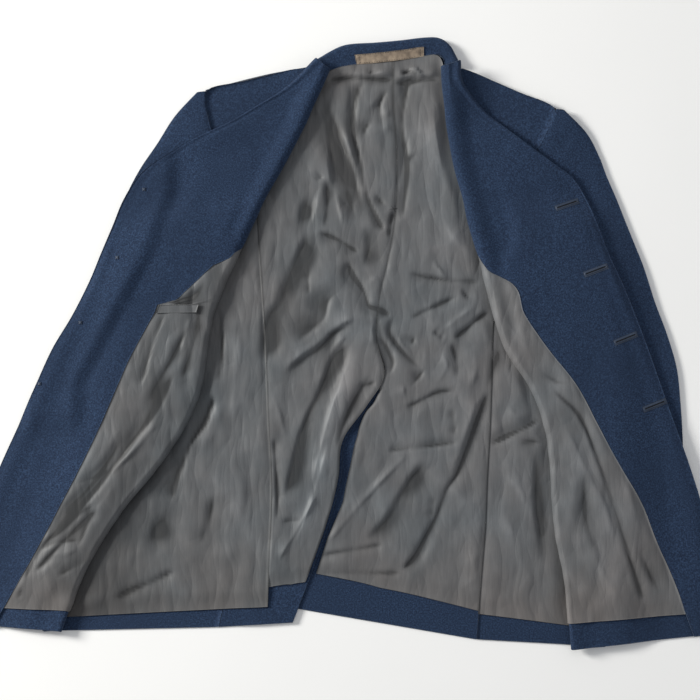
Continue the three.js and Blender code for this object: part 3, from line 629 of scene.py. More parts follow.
# shares of the length at which the linings end: at centre and seam, at seam and fold, all across
liningEnds = {"back": {"right": (0.945, 0.942), "left": (0.95, 0.966)}, "side": (0.961, 0.978), "front": 0.98}
liningSettings = {
    "step": 2.6,
    "width": 190, "length": 700,
    "swells": (62, 27),   # sizes of the swells
    "bowls": (46, 21),    # sizes of the bowls
    "overlap": 0.6,       # of two linings at their seam
    "ventFrom": 0.56,     # share of the length at which the vent starts to turn it aside
    "rise": 3.2,          # how far the lining stands off the wool between its seams
    "billow": 1.3,        # long soft swells
    "crumple": 0.9,       # shallow bowls that meet in sharp folds
    "crease": 2.8,        # how strongly the listed creases are pressed
    "seamWidth": 3.5,     # how far the dip beside a seam reaches
}


def liningRelief(creases, x, y, seed):
    # Swells, crumple and pressed creases together, never lower than the cloth under the lining.
    # The second value is the tone of crumple and creases, without the swells: painted shade in
    # hollows and painted highlight on ridges.
    large, small = liningSettings["swells"]
    swell = ripple(x, y, large, seed) + 0.5 * ripple(x, y, small, seed + 7)
    turnedX, turnedY = 0.8 * x + 0.6 * y, (0.8 * y - 0.6 * x) * 0.62      # turned by 37 degrees and drawn out
    large, small = liningSettings["bowls"]
    bowls = 2.0 * facets(turnedX, turnedY, large, seed + 20) + 0.9 * facets(x, y * 0.8, small, seed + 40)
    bowls = liningSettings["crumple"] * bowls
    creased, tone = pressed(creases, x, y)
    creased = liningSettings["crease"] * creased
    height = liningSettings["rise"] + liningSettings["billow"] * swell + bowls + creased
    return np.logaddexp(0, height * 1.6) / 1.6, 0.9 * bowls + tone


def seamDip(*distances):
    # Share of the relief left beside seams: pulled down to a narrow groove.
    nearest = np.minimum.reduce(np.broadcast_arrays(*distances))
    return 1 - 0.42 * np.exp(-(nearest / liningSettings["seamWidth"]) ** 2)


def seamLine(*distances):
    # How deep the stitched line of a seam lies, for the painted shade beside it.
    nearest = np.minimum.reduce(np.broadcast_arrays(*distances))
    return 3.0 * np.exp(-(nearest / 1.3) ** 2) + 0.7 * np.exp(-(nearest / 5) ** 2)


sideCreases = {
    "left": [
        (4, -2.8, 184, -126, 232, -103, 257, -88), (3, -1.2, 221, -122, 266, -122),
        (9, -2.2, 246, -122, 248, -192, 252, -246, 258, -288), (3, -1.2, 262, -222, 251, -250),
        (7, 1.2, 198, -159, 224, -186, 237, -225), (8, 1.0, 198, -212, 217, -251, 223, -297),
        (5, 1.4, 206, -67, 219, -87, 239, -80)],
    "right": [
        (8, 1.4, -146, 26, -151, -40, -156, -106), (5, -1.4, -182, -188, -185, -220, -197, -258),
        (7, 1.0, -139, -159, -148, -225, -163, -290),
        (4, -2.4, -180, -59, -191, -95, -209, -121, -219, -145, -231, -178, -236, -201),
        (10, -2.0, -227, -204, -246, -226, -262, -252, -272, -268),
        (4, -1.6, -229, -288, -256, -303, -288, -316, -310, -329),
        (7, 1.8, -170, -67, -180, -104, -198, -136), (4, -3.0, -190, 88, -184, 34, -186, -30),
        (3, -1.8, -176, 60, -170, 10, -174, -44)],
}

bodyCreases = backCreases["right"] + backCreases["left"] + sideCreases["right"] + sideCreases["left"]
bodySeed = 11


def makeBackLining(side, satin):
    step = liningSettings["step"]
    s, u = spaced(liningSettings["width"], step), spaced(liningSettings["length"], step)
    sAll = s[None, :]
    atCentre, atSeam = liningEnds["back"][side]
    tAll = 0.002 + (atCentre + (atSeam - atCentre) * sAll - 0.002) * u[:, None]
    x, y = backPlaces(side, liningSeam, s, tAll, -liningSettings["overlap"])
    ventFrom = liningSettings["ventFrom"]
    below = ease((tAll - ventFrom) / 0.1)
    shift = -4.0      # turned in beside the vent; on the left it follows the underlap
    if side == "left":
        shift = np.interp((tAll - ventFrom) / (1 - ventFrom), np.linspace(0, 1, 9),
                          [0, 38, 39, 51, 56, 60, 53, 51, 51])
    x = x + (1 - sAll) * below * shift
    vent = ventLift(x, y) if side == "right" else 0
    slope = vent * (liningLevel - vent) * 0.5
    base = slope + liningLevel + cloth["lining"] / 2 + collarLift(x, y, 1) + vent
    clear = openShare("right", x, y) * openShare("left", x, y)
    clear = clear * ease(u[:, None] * 70) * (1 - 0.8 * ease((u[:, None] - 0.975) / 0.022))
    fromSeams = sAll * 170, (1 - sAll) * 170
    clear = clear * seamDip(*fromSeams)
    height, fine = liningRelief(bodyCreases, x, y, bodySeed)
    z = base + height * clear
    felled = ease((0.014 - tAll) / 0.014) * ease((0.44 - sAll) / 0.06)      # turned up over the collar seam
    y, z = y + 5.5 * felled, z + 2.3 * felled
    laid = laidFlat(x, y, z)
    keepSkin(f"lining_back_{side}", *laid, cloth["lining"])
    clothPiece(f"back_lining_{side}", laid, satin, f"lining_back_{side}",
               fine * clear - seamLine(*fromSeams))


def runOf(table, t):
    # Which way a line runs at t: from a little before to a little after.
    return smooth(table, np.minimum(t + 0.02, 1)) - smooth(table, np.maximum(t - 0.02, 0))


def sidePlaces(side, seams, t, ways, offset, gap=cloth["seam"]):
    # From the back seam flat to the side fold (ways 0 to 1), half round it (1 to 2), and in on top
    # to the front's seam (2 to 3), moved inward by offset.
    hand = outwardOf[side]
    tAll = t + 0 * ways[None, :]
    seam = smooth(seams[side], 3 / 14 + 11 / 14 * tAll) + [hand * gap / 2, 0]
    fold = smooth(sideFold[side], tAll)
    run = runOf(sideFold[side], tAll)
    out = np.stack([-run[..., 1], run[..., 0]], -1) / np.linalg.norm(run, axis=-1, keepdims=True)
    out = out * np.where(out[..., :1] * hand < 0, -1, 1)
    radius = foldedLevel / 2
    join = smooth(columns(frontRows[side][8:], 0, 1), tAll) + [hand * cloth["seam"], 0]
    wAll = ways[None, :, None]
    angle = np.clip(wAll - 1, 0, 1) * math.pi
    flat = seam + (fold - seam) * np.clip(wAll, 0, 1)
    turned = flat + out * radius * np.sin(angle)
    place = turned + (join - fold) * np.clip(wAll - 2, 0, 1)
    z = radius * (1 - np.cos(angle[..., 0])) + cloth["wool"] / 2 + place[..., 0] * 0
    normal = np.concatenate([out * np.sin(angle), -np.cos(angle) + place[..., :1] * 0], -1)
    point = np.concatenate([place, z[..., None]], -1) - normal * offset
    return point, normal


sideSettings = {
    "wool": 34, "lining": 56, "round": 13, "top": 7,      # places across each flat part, round and on top
    "length": 520, "liningLength": 500, "step": 6,
}


def waysAlong(last, flat):
    turned, top = np.linspace(1, 2, sideSettings["round"]), np.linspace(2, last, sideSettings["top"])
    return np.unique(np.concatenate([np.linspace(0, 1, flat), turned, top]))


def makeSide(side, wool, satin):
    t = spaced(sideSettings["length"], sideSettings["step"])[:, None]
    grid = sidePlaces(side, sideSeam, t, waysAlong(3, sideSettings["wool"]), 0)
    clothPiece(f"side_body_{side}", grid, wool, f"side_{side}")
    ways = waysAlong(2.9, sideSettings["lining"])
    atSeam, atFold = liningEnds["side"]
    u = spaced(sideSettings["liningLength"], liningSettings["step"])[:, None]
    t = u * (atSeam + (atFold - atSeam) * np.clip(ways, 0, 1)[None, :])
    offset = cloth["wool"] / 2 + cloth["gap"] + cloth["lining"] / 2
    point, normal = sidePlaces(side, liningSeam, t, ways, offset, -liningSettings["overlap"])
    x, y = xy(point)
    wAll = ways[None, :]
    bottom = wAll <= 1
    if side == "right":
        point[..., 2] += ventLift(x, y) * 1.2 * bottom
    clear = openShare(side, x, y) * (1 - ease((wAll - 0.9) * 10)) * bottom
    clear = clear * seamDip(wAll * 130) * (1 - 0.8 * ease((u - 0.965) / 0.03))
    height, fine = liningRelief(bodyCreases, x, y, bodySeed)
    point[..., 2] += height * clear
    # painted shade on the side lining under the front's fold
    shaded = 2.4 * ease((wAll - 0.42) / 0.42) * ease((u - 0.1) / 0.2)      # darker under the front
    clothPiece(f"side_lining_{side}", (point, normal), satin, f"lining_side_{side}",
               fine * clear - seamLine(wAll * 130) - shaded)


frontSettings = {
    "length": 740,
    "wool": (6, 84), "lining": (2.8, 90), "facing": (4.4, 74),      # step down, places across
    "overButtons": 7.0,       # how far the right front stands up over its buttons
    "fallsOver": 26,          # how far from the roll it comes to rest
}
# where the facing starts beside the inner pocket: row, place on the way round
pocketJog = points(8.6, 1.3, 9.0, 1.9, 9.5, 2.1, 10.0, 2.17, 10.62, 2.27, 10.72, 2.4, 11.0, 2.4, 12.0, 2.45)


def frontPlaces(side, t, share, part):
    # One way round the front: in along the fold (0 to 1), half round the roll (1 to 2), out on top
    # to the free edge (2 to 3). The share of each row runs over the whole front, or over the part
    # before or after the seam between lining and facing. Places are dealt out by effort: 3 for the
    # lower part, 6 for the roll, 12 for the top.
    hand = outwardOf[side]
    row = smooth(frontRows[side], t)
    start, roll, edge = row[:, None, 0:2], row[:, None, 2:4], row[:, None, 4:6]
    facing, radius = row[:, 6], smooth([[size] for size in rollRadius], t)
    if side == "right":
        place = t * (len(frontRows[side]) - 1)
        atPocket = np.interp(place, *np.transpose(pocketJog))
        facing = np.where((place > pocketJog[0][0]) & (place < pocketJog[-1][0]), atPocket, facing)
    afterRoll = np.where(facing < 2, 3 + (facing - 1) * 6, 9 + (facing - 2) * 12)
    split = np.where(facing < 1, facing * 3, afterRoll)
    sAll = share[None, :]
    split, whole = split[:, None], 21
    effort = {"whole": sAll * whole + split * 0, "before": sAll * split,
              "after": split + sAll * (whole - split)}[part]
    afterFlat = np.where(effort < 9, 1 + (effort - 3) / 6, 2 + (effort - 9) / 12)
    way = np.where(effort < 3, effort / 3, afterFlat)
    run = runOf(columns(frontRows[side], 2, 3), t)
    inward = np.stack([-run[:, 1], run[:, 0]], 1) / np.linalg.norm(run, axis=1, keepdims=True)
    inward = (inward * np.where(inward[:, :1] * hand > 0, -1, 1))[:, None]
    half = cloth["wool"] / 2
    angle = np.clip(way - 1, 0, 1) * math.pi
    low = start + (roll - start) * np.clip(way, 0, 1)[..., None]
    top = roll + (edge - roll) * np.clip(way - 2, 0, 1)[..., None]
    place = np.where((way > 2)[..., None], top, low) + inward * (radius * np.sin(angle))[..., None]
    atRoll = foldedLevel + half + collarLift(*xy(roll), 2)
    lowZ = foldedLevel + half + collarLift(*xy(low), 2)
    arcZ = atRoll + radius * (1 - np.cos(angle))
    held = frontSettings["overButtons"] * buttonShare(*xy(top)) if side == "right" else 0
    resting = restingLevel(side, *xy(top)) + held + half + collarLift(*xy(top), 3)
    away = np.linalg.norm(top - roll, axis=-1)
    topZ = (atRoll + 2 * radius) + (resting - atRoll - 2 * radius) * ease(away / frontSettings["fallsOver"])
    lapel = ease((0.36 - t) / 0.1)[:, None] * ease(np.clip(way - 2, 0, 1) * 1.4 - 0.3)
    topZ = topZ + 2.6 * lapel * (0.7 + 0.5 * np.sin(t * 40))[:, None]
    z = np.where(way <= 1, lowZ, np.where(way < 2, arcZ, topZ))
    normal = np.concatenate([inward * np.sin(angle)[..., None], -np.cos(angle)[..., None]], -1)
    return np.concatenate([place, z[..., None]], -1), normal, way


def liesOn(point, normal, way, t, thickness):
    # Moved out of the front by half of each thickness and a gap, wider where the seam crosses the
    # roll and closed at the free edge.
    crosses = ease((t - 0.37) / 0.05) * (1 - ease((t - 0.54) / 0.05))
    gap = cloth["gap"] * (1.5 + 4.0 * crosses[:, None] * ease((normal[..., 2] + 0.9) * 8))
    edge = ease((way - 2.93) / 0.07)
    gap = gap * (1 - edge) + 0.1 * edge
    return point + normal * ((cloth["wool"] + thickness) / 2 + gap)[..., None]


frontCreases = {
    "right": [
        (3.5, -1.6, -333, -203, -351, -214, -384, -241, -404, -262, -425, -302),
        (3.5, -1.6, -341, -203, -343, -226, -356, -262), (3, -1.4, -404, -261, -378, -252, -351, -250),
        (3, 1.2, -391, -270, -368, -267, -353, -259), (3.5, -1.4, -322, -254, -327, -294, -339, -336),
        (3.5, -1.6, -330, -267, -350, -280, -383, -297), (3.5, -1.4, -313, -156, -331, -167, -357, -175),
        (5, 1.2, -399, -272, -385, -331), (7, 1.8, -264, -93, -279, -120, -295, -149),
        (7, 1.4, -302, -172, -320, -198, -338, -224), (3, -1.2, -428, -309, -433, -328),
        (9, 1.0, -290, -67, -306, -107, -324, -139),
        (5, -5.0, -240, 61, -226, 63, -210, 67, -199, 76, -192, 88),
        (4, -2.8, -199, 66, -202, 30, -210, -6, -222, -40), (4, 2.6, -210, 44, -216, 20, -224, -10),
        (5, -2.0, -196, 50, -200, 10), (5, -2.4, -214, 30, -232, -8, -252, -44, -262, -70),
        (2, -1.2, -246, 46, -262, 0, -276, -50),
        (6, -3.4, -232, -30, -258, -84, -300, -142, -346, -200, -392, -250),
        (3, 2.0, -252, -96, -282, -132, -318, -168), (3, -2.2, -330, -210, -372, -250, -410, -290),
        (3, -1.8, -300, -120, -330, -168, -372, -216)],
    "left": [
        (3, -1.6, 267, -54, 301, -88, 320, -133, 340, -192, 356, -245, 370, -293, 382, -331),
        (7, 2.0, 283, -103, 306, -156, 333, -209, 346, -259), (6, -1.8, 306, -156, 308, -226, 326, -272),
        (4, 1.4, 315, -259, 332, -300, 351, -327), (6, 1.4, 296, -159, 292, -211, 301, -276),
        (6, 1.2, 199, 50, 218, 19, 238, -4), (7, 1.4, 355, -159, 367, -198, 380, -250),
        (6, -1.4, 374, -257, 392, -296, 410, -328), (4, -1.2, 251, -30, 272, -43, 291, -46)],
}
facingCreases = {
    "right": [
        (12, -1.3, -215, 200, -199, 193, -171, 175), (14, -1.4, -304, 147, -285, 123, -270, 114),
        (14, -1.2, -251, 90, -222, 75), (26, 1.3, -332, 66, -357, -41, -395, -146)],
    "left": [
        (12, -1.4, 231, 78, 256, 62, 283, 62), (12, -1.1, 307, -13, 325, -22, 340, -29),
        (14, -1.0, 219, 126, 244, 83), (24, 1.2, 201, 281, 227, 213, 259, 132)],
}


def makeFront(side, wool, satin):
    length, (step, count) = frontSettings["length"], frontSettings["wool"]
    grid = frontPlaces(side, spaced(length, step), np.linspace(0, 1, count), "whole")[:2]
    clothPiece(f"front_panel_{side}", grid, wool, f"front_{side}")

    step, count = frontSettings["lining"]
    t, share = spaced(length, step) * liningEnds["front"], np.linspace(0, 1, count)
    point, normal, way = frontPlaces(side, t, share, "before")
    x, y = xy(point)
    point = liesOn(point, normal, way, t, cloth["lining"])
    tAll = t[:, None]
    clear = ease((way - 1.85) / 0.42) * ease((tAll - 0.44) / 0.04) * (1 - 0.7 * ease((tAll - 0.955) / 0.025))
    clear = clear * seamDip((1 - share[None, :]) * 160)
    height, fine = liningRelief(frontCreases[side], x, y, 301 if side == "right" else 347)
    # painted shade along the roll's edge, and a stretched tone that differs at random
    fine = fine - 1.6 * np.exp(-((way - 2.0) / 0.14) ** 2) - 1.5 * ripple(x * 0.8, y * 0.35, 30, 77)
    rolled = ripple(x, y * 0.6, 15, 57) * np.exp(-((way - 1.8) / 0.4) ** 2) * ease((tAll - 0.44) / 0.04)
    point += normal * (height * 0.8 * clear + 1.5 * np.maximum(rolled, -0.1))[..., None]
    keepSkin(f"lining_front_{side}", point, normal, cloth["lining"])
    # the roll's wrinkles tone the lining too: painted shade in their hollows and painted highlight on their
    # ridges
    clothPiece(f"front_lining_{side}", (point, normal), satin, f"lining_front_{side}",
               fine * clear + 1.8 * rolled)

    step, count = frontSettings["facing"]
    t = spaced(length, step)
    point, normal, way = frontPlaces(side, t, np.linspace(0, 1, count), "after")
    x, y = xy(point)
    point = liesOn(point, normal, way, t, cloth["wool"])
    soft = 0.8 + 0.7 * ripple(x, y, 70, 411) + 0.35 * ripple(x, y, 26, 433)
    soft = soft + pressed(facingCreases[side], x, y)[0]
    clear = ease((way - 1.9) / 0.2) * (1 - 0.9 * ease((way - 2.8) / 0.2))
    fromEdge = (3 - way) * np.linalg.norm(point[:, -1:, :2] - point[:, 30:31, :2], axis=-1)
    turned = 0.9 * np.exp(-((fromEdge - 4) / 3) ** 2) - 0.5 * np.exp(-((fromEdge - 11) / 3) ** 2)
    point += normal * (np.maximum(soft, -0.3) * clear + turned * ease((way - 2) * 4))[..., None]
    clothPiece(f"front_facing_{side}", (point, normal), wool, f"facing_{side}")
    keepSkin(f"facing_{side}", point, normal, cloth["wool"])


sleeveSettings = {"length": 640, "width": 150, "under": 7.0, "top": 4.6}      # the last two are steps


def makeSleeve(side, wool):
    # Two cloths between the sleeve's inner and outer line, each at the level of what it lies on.
    for name, level in (("under", sleeveUnderLevel), ("top", sleeveTopLevel)):
        step = sleeveSettings[name]
        t, s = spaced(sleeveSettings["length"], step), spaced(sleeveSettings["width"], step)
        inner = smooth(columns(sleeveRows[side], 0, 1), t)[:, None]
        if name == "top":      # drawn up to the armhole seam
            inner = inner - [outwardOf[side] * 2.6, 0] * ease((0.3 - t) / 0.05)[:, None, None]
        outer = smooth(columns(sleeveRows[side], 2, 3), t)[:, None]
        sAll = s[None, :, None]
        place = inner + (outer - inner) * sAll
        x, y = xy(place)
        z = level(side, x, y) + cloth["wool"] / 2
        if name == "top":
            edge = np.minimum(s, 1 - s)[None, :]
            soft = 0.8 + 0.7 * ripple(x, y, 48, 511) + pressed(sleeveCreases[side], x, y)[0]
            z = z + np.maximum(soft, -0.2) * ease(edge * 7) - 0.35 * (1 - ease(edge * 14))
        clothPiece(f"sleeve_{name}_panel_{side}", laidFlat(x, y, z), wool, f"sleeve_{name}_{side}")


sleeveCreases = {
    "right": [
        (9, -1.4, -262, 262, -240, 236, -232, 205)],
    "left": [
        (7, -1.8, 311, 297, 293, 283, 279, 251), (7, 1.6, 288, 255, 321, 238, 334, 214)],
}


collarSettings = {
    "length": 230, "step": 3.5,
    "across": (12, 17, 12),       # places over the fall, the crest and the stand
    "radius": 4.6,                # of the crest
    "ends": (4.0, 2.2),           # how far its right and left end rise over the corners of the fronts
}


def collarPlaces(offset, fallInset, t, counts):
    # Fall on the surface under the back, half round the crest, and the stand back to the neck seam.
    start, top = smooth(backNeck, t), smooth(collarCrest, t)
    out = (top - start) / np.linalg.norm(top - start, axis=1, keepdims=True)
    start = start + out * cloth["seam"]
    half, radius = cloth["wool"] / 2, collarSettings["radius"]
    neckLevel = liningLevel + collarThickness + half
    turn = top + out * (-radius - half)
    fall = smooth([[v] for v in collarFall], t) - fallInset
    a, b, c = counts
    w = np.concatenate([np.linspace(0, 1, a), np.linspace(1, 2, b)[1:], np.linspace(2, 3, c)[1:]])
    wAll = w[None, :, None]
    angle = np.clip(wAll - 1, 0, 1) * math.pi
    place = turn[:, None] - out[:, None] * fall[:, None] * (1 - np.clip(wAll, 0, 1))
    place = place + out[:, None] * radius * np.sin(angle) + (start - turn)[:, None] * np.clip(wAll - 2, 0, 1)
    z = half + radius * (1 - np.cos(angle[..., 0]))
    z = z + (neckLevel - half - 2 * radius) * ease(w[None, :] - 2) + place[..., 0] * 0
    right, left = collarSettings["ends"]
    z = z + (right * ease((0.10 - t) / 0.08) + left * ease((t - 0.93) / 0.06))[:, None]
    normal = np.concatenate([out[:, None] * np.sin(angle), -np.cos(angle) + place[..., :1] * 0], -1)
    return np.concatenate([place, z[..., None]], -1) - normal * offset, normal


def makeCollar(wool):
    for name, offset, inset, node in (("collar_outer", 0, 0, "collar_top"),
                                      ("collar_inner", cloth["wool"] + cloth["gap"], 3, "collar_under")):
        t = spaced(collarSettings["length"], collarSettings["step"])
        grid = collarPlaces(offset, inset, t, collarSettings["across"])
        clothPiece(name, grid, wool, node)


loopLines = []      # where the hanger loop is sewn: along its edges and across its ends
loopSettings = {"along": (0.278, 0.617), "places": 70, "width": 13, "thickness": 1.2, "arch": 1.4}


def makeLoop(tape):
    # A straight tape along the stand, standing off it a little in the middle, its ends sewn down.
    count, thickness = loopSettings["places"], loopSettings["thickness"]
    point = collarPlaces(0, 0, np.linspace(*loopSettings["along"], count), (5, 7, 5))[0]
    low, high = point[:, -2], point[:, -3]
    share = np.linspace(0, 1, count)
    middle = low + (high - low) * 0.1
    middle[:, 2] += cloth["wool"] / 2 + cloth["gap"] + thickness / 2
    middle[:, 2] += loopSettings["arch"] * np.sin(share * math.pi) + 0.25 * np.sin(share * 23)
    across = (high - low) / np.linalg.norm(high - low, axis=1, keepdims=True) * loopSettings["width"] / 2
    s = np.linspace(-1, 1, 13)[None, :, None]
    places = middle[:, None] + across[:, None] * s
    hem = np.exp(-((np.abs(s[..., 0]) - 0.86) / 0.1) ** 2) * 0.18
    ends = np.exp(-((share - 0.06) / 0.012) ** 2) + np.exp(-((share - 0.94) / 0.012) ** 2)
    places[..., 2] += hem - 0.25 * ends[:, None]
    laid = laidFlat(*np.moveaxis(places, -1, 0))
    keepSkin("hanger_loop", *laid, thickness)
    loopLines.extend([places[2:-2:6, 1, :2], places[2:-2:6, -2, :2]])
    loopLines.extend([places[4, 1:-1:5, :2], places[-5, 1:-1:5, :2]])
    clothPiece("hanger_tape", laid, (thickness, tape, "loop_tape"), "hanger_loop")


# shares of the lining's width, rows of the front, and sizes in mm
weltSettings = {"across": (0.73, 0.985), "rows": (10.99, 10.76), "thickness": 1.2, "rise": 1.2}


def makeWelt(satin):
    # The pocket's welt: a short stretch of the front lining's own surface, moved out of it.
    share = np.linspace(*weltSettings["across"], 30)
    t = np.linspace(*weltSettings["rows"], 9) / (len(frontRows["right"]) - 1)
    thickness = weltSettings["thickness"]
    point, normal, way = frontPlaces("right", t, share, "before")
    lining = liesOn(point, normal, way, t, cloth["lining"])
    away = (cloth["lining"] + thickness) / 2 + cloth["gap"] * 2 + weltSettings["rise"]
    lining = lining + normal * away
    clothPiece("inner_pocket_welt", (lining, normal), (thickness, satin[1], "lining"), "pocket_welt_right")


# base, foot of the dome and middle of the rim are shares of the thickness
buttonSettings = {"diameter": 25.4, "thickness": 3.4, "rim": 1.1,
                  "base": 0.06, "rimLevel": 0.42, "dome": 0.62}


def makeButtons(brass):
    # A plain domed button: a profile of radius and height turned about its axis.
    r = buttonSettings["diameter"] / 2
    h = buttonSettings["thickness"]
    rim = buttonSettings["rim"]
    inner = np.linspace(0, 1, 14)[::-1] * (r - rim * 1.5)
    foot = buttonSettings["dome"]
    dome = np.stack([inner, h * foot + h * (1 - foot) * np.sqrt(1 - (inner / r) ** 2)], 1)
    edge = np.linspace(-0.5, 1, 10) * math.pi
    bead = np.stack([r - rim + rim * np.cos(edge), h * buttonSettings["rimLevel"] + rim * np.sin(edge)], 1)
    base = np.stack([np.linspace(0, 1, 8) * (r - rim * 1.3), np.full(8, h * buttonSettings["base"])], 1)
    profile = np.concatenate([base, bead, dome[:-1]])
    turn = np.linspace(0, 2 * math.pi, 64, endpoint=False)
    for number, (x, y) in enumerate(buttonPlaces, 1):
        bottom = float(restingLevel("right", np.array(float(x)), np.array(float(y)))) + cloth["gap"] * 3.5
        ring = profile[1:]
        px = x + ring[:, 0][:, None] * np.cos(turn)
        py = y + ring[:, 0][:, None] * np.sin(turn)
        pz = bottom + ring[:, 1][:, None] + px * 0
        places = np.stack([px, py, pz], -1).reshape(-1, 3)
        lowPole, highPole = len(places), len(places) + 1
        places = np.vstack([places, [x, y, bottom + profile[0, 1]], [x, y, bottom + dome[-1, 1]]])
        n = len(turn)
        faces = netQuads(len(ring), n).tolist()
        last = (len(ring) - 1) * n
        k = np.arange(n)
        faces += np.stack([np.full(n, lowPole), (k + 1) % n, k], 1).tolist()
        faces += np.stack([np.full(n, highPole), last + k, last + (k + 1) % n], 1).tolist()
        addPiece(f"front_button_{number}", places, faces, brass, f"button_{number}")


# centre x y and turn in degrees of each buttonhole of the left front
buttonholes = [[289, 193, 20], [325, 104, 21], [364, 14, 22], [402, -74, 21]]
buttonholeSettings = {"length": 30, "lips": 1.5, "height": 0.9, "stitch": 1.5}
shankPlaces = points(-274, 213, -308, 121, -356, 35, -409, -46)
pleatTack = (58, 189)      # where the centre pleat is tacked down


def makeButtonholes(thread):
    # Two lips of close stitches with a slit between them: across, two rounded ridges; along, a
    # small ripple for each stitch; lower and closed at both ends.
    half, lips = buttonholeSettings["length"] / 2, buttonholeSettings["lips"]
    along, across = np.meshgrid(np.linspace(-half - 2, half + 2, 130), np.linspace(-4, 4, 29), indexing="ij")
    opened = 1 - ease((np.abs(along) - half + 2) / 2.5)
    ridge = np.exp(-((np.abs(across) - lips) / 1.0) ** 2)
    stitches = 1 + 0.18 * np.cos(2 * math.pi * along / buttonholeSettings["stitch"])
    end = 1 - ease((np.abs(along) - half) / 2)
    closed = np.exp(-(across / 2.2) ** 2) * (1 - opened)
    height = buttonholeSettings["height"] * (ridge * opened + closed) * stitches * end
    # the slit is painted nearly black through press: painted shade in the opening
    slit = np.exp(-(across / 0.75) ** 2) * opened
    for number, (cx, cy, turn) in enumerate(buttonholes, 1):
        c, d = math.cos(math.radians(turn)), math.sin(math.radians(turn))
        x, y = cx + along * c - across * d, cy + along * d + across * c
        z = heightOn("facing_left", x, y) + 0.15 + height - 0.25 * slit
        clothPiece(f"buttonhole_stitching_{number}", laidFlat(x, y, z), (0.5, thread, "wool"), None,
                   -6.0 * slit)


def makeStitches(name, skin, lines, width, material):
    # Short rounded threads, each a long ball laid on the cloth between two places.
    turn = np.linspace(0, 2 * math.pi, 8, endpoint=False)
    fall = np.linspace(0, math.pi, 7)
    ballX, ballY, ballZ = (-np.cos(fall)[:, None] + 0 * turn, np.sin(fall)[:, None] * np.cos(turn),
                           np.sin(fall)[:, None] * np.sin(turn))
    quads = netQuads(len(fall), len(turn))
    places, faces = [], []
    for x0, y0, x1, y1 in lines:
        z0, z1 = heightOn(skin, [x0, x1], [y0, y1])
        start, end = np.array([x0, y0, z0]), np.array([x1, y1, z1])
        way = (end - start) / np.linalg.norm(end - start)
        beside = np.array([-way[1], way[0], 0])
        middle = (start + end) / 2 + [0, 0, width * 0.2]
        half = np.linalg.norm(end - start) / 2
        ball = (middle + (ballX[..., None] * half) * way + (ballY[..., None] * width / 2) * beside
                + ballZ[..., None] * np.array([0, 0, width / 2]))
        ball[0], ball[-1] = ball[0] * 0.97 + middle * 0.03, ball[-1] * 0.97 + middle * 0.03
        faces.append(quads + len(places) * ballX.size)
        places.append(ball.reshape(-1, 3))
    places = np.concatenate(places)
    faces = windOutward(places, np.concatenate(faces))
    piece = addPiece(name, places, faces.tolist(), material)
    joined = bmesh.new()      # each end of a thread is one point
    joined.from_mesh(piece.data)
    bmesh.ops.remove_doubles(joined, verts=joined.verts, dist=1e-6)
    joined.to_mesh(piece.data)
    joined.free()


def runAlong(points, stitch, space):
    # A running stitch along a line: a thread, then a space, to its end.
    path = smooth(points, np.linspace(0, 1, 200))
    run = np.concatenate([[0], np.cumsum(np.linalg.norm(np.diff(path, axis=0), axis=1))])
    starts = np.arange(0, run[-1] - stitch, stitch + space)
    return [[np.interp(at, run, path[:, axis]) for at in (begin, begin + stitch) for axis in (0, 1)]
            for begin in starts]


def crossedAt(x, y, size):
    # Threads that hold a button: two crossed pairs.
    h = size / 2
    return [[x - h, y - h * 0.7, x + h, y + h], [x - h, y + h, x + h, y - h * 0.7],
            [x - h, y - h, x + h, y + h * 0.7], [x - h, y + h * 0.7, x + h, y - h]]


def makeSewing(dark, grey):
    makeButtonholes(dark)
    shanks = [line for x, y in shankPlaces for line in crossedAt(x, y, 4.6)]
    makeStitches("button_threads", "facing_right", shanks, 2.0, dark)
    arms = [(6 * math.cos(a), 6 * math.sin(a)) for a in (0.2, 1.2, 2.2)]
    cx, cy = pleatTack
    star = [[cx + dx, cy + dy, cx - dx, cy - dy] for dx, dy in arms]
    sewn = [stitch for line in loopLines for stitch in runAlong(line.tolist(), 2.2, 1.2)]
    makeStitches("loop_stitching", "hanger_loop", sewn, 0.55, grey)
    makeStitches("pleat_tack", "lining_back_right", star, 1.0, grey)
    makeStitches("pocket_stitching", "lining_front_right",
                 runAlong(points(-262, 47, -240, 50, -215, 54, -200, 58), 2.6, 1.6), 0.7, grey)


# sockets of a colour mix node, where several share a name
mixFactor, mixFirst, mixSecond, mixResult = 0, 6, 7, 2


woolColours = {"deep": "#172339", "ground": "#22334c", "fibre": "#324562", "patch": "#1c2b42"}


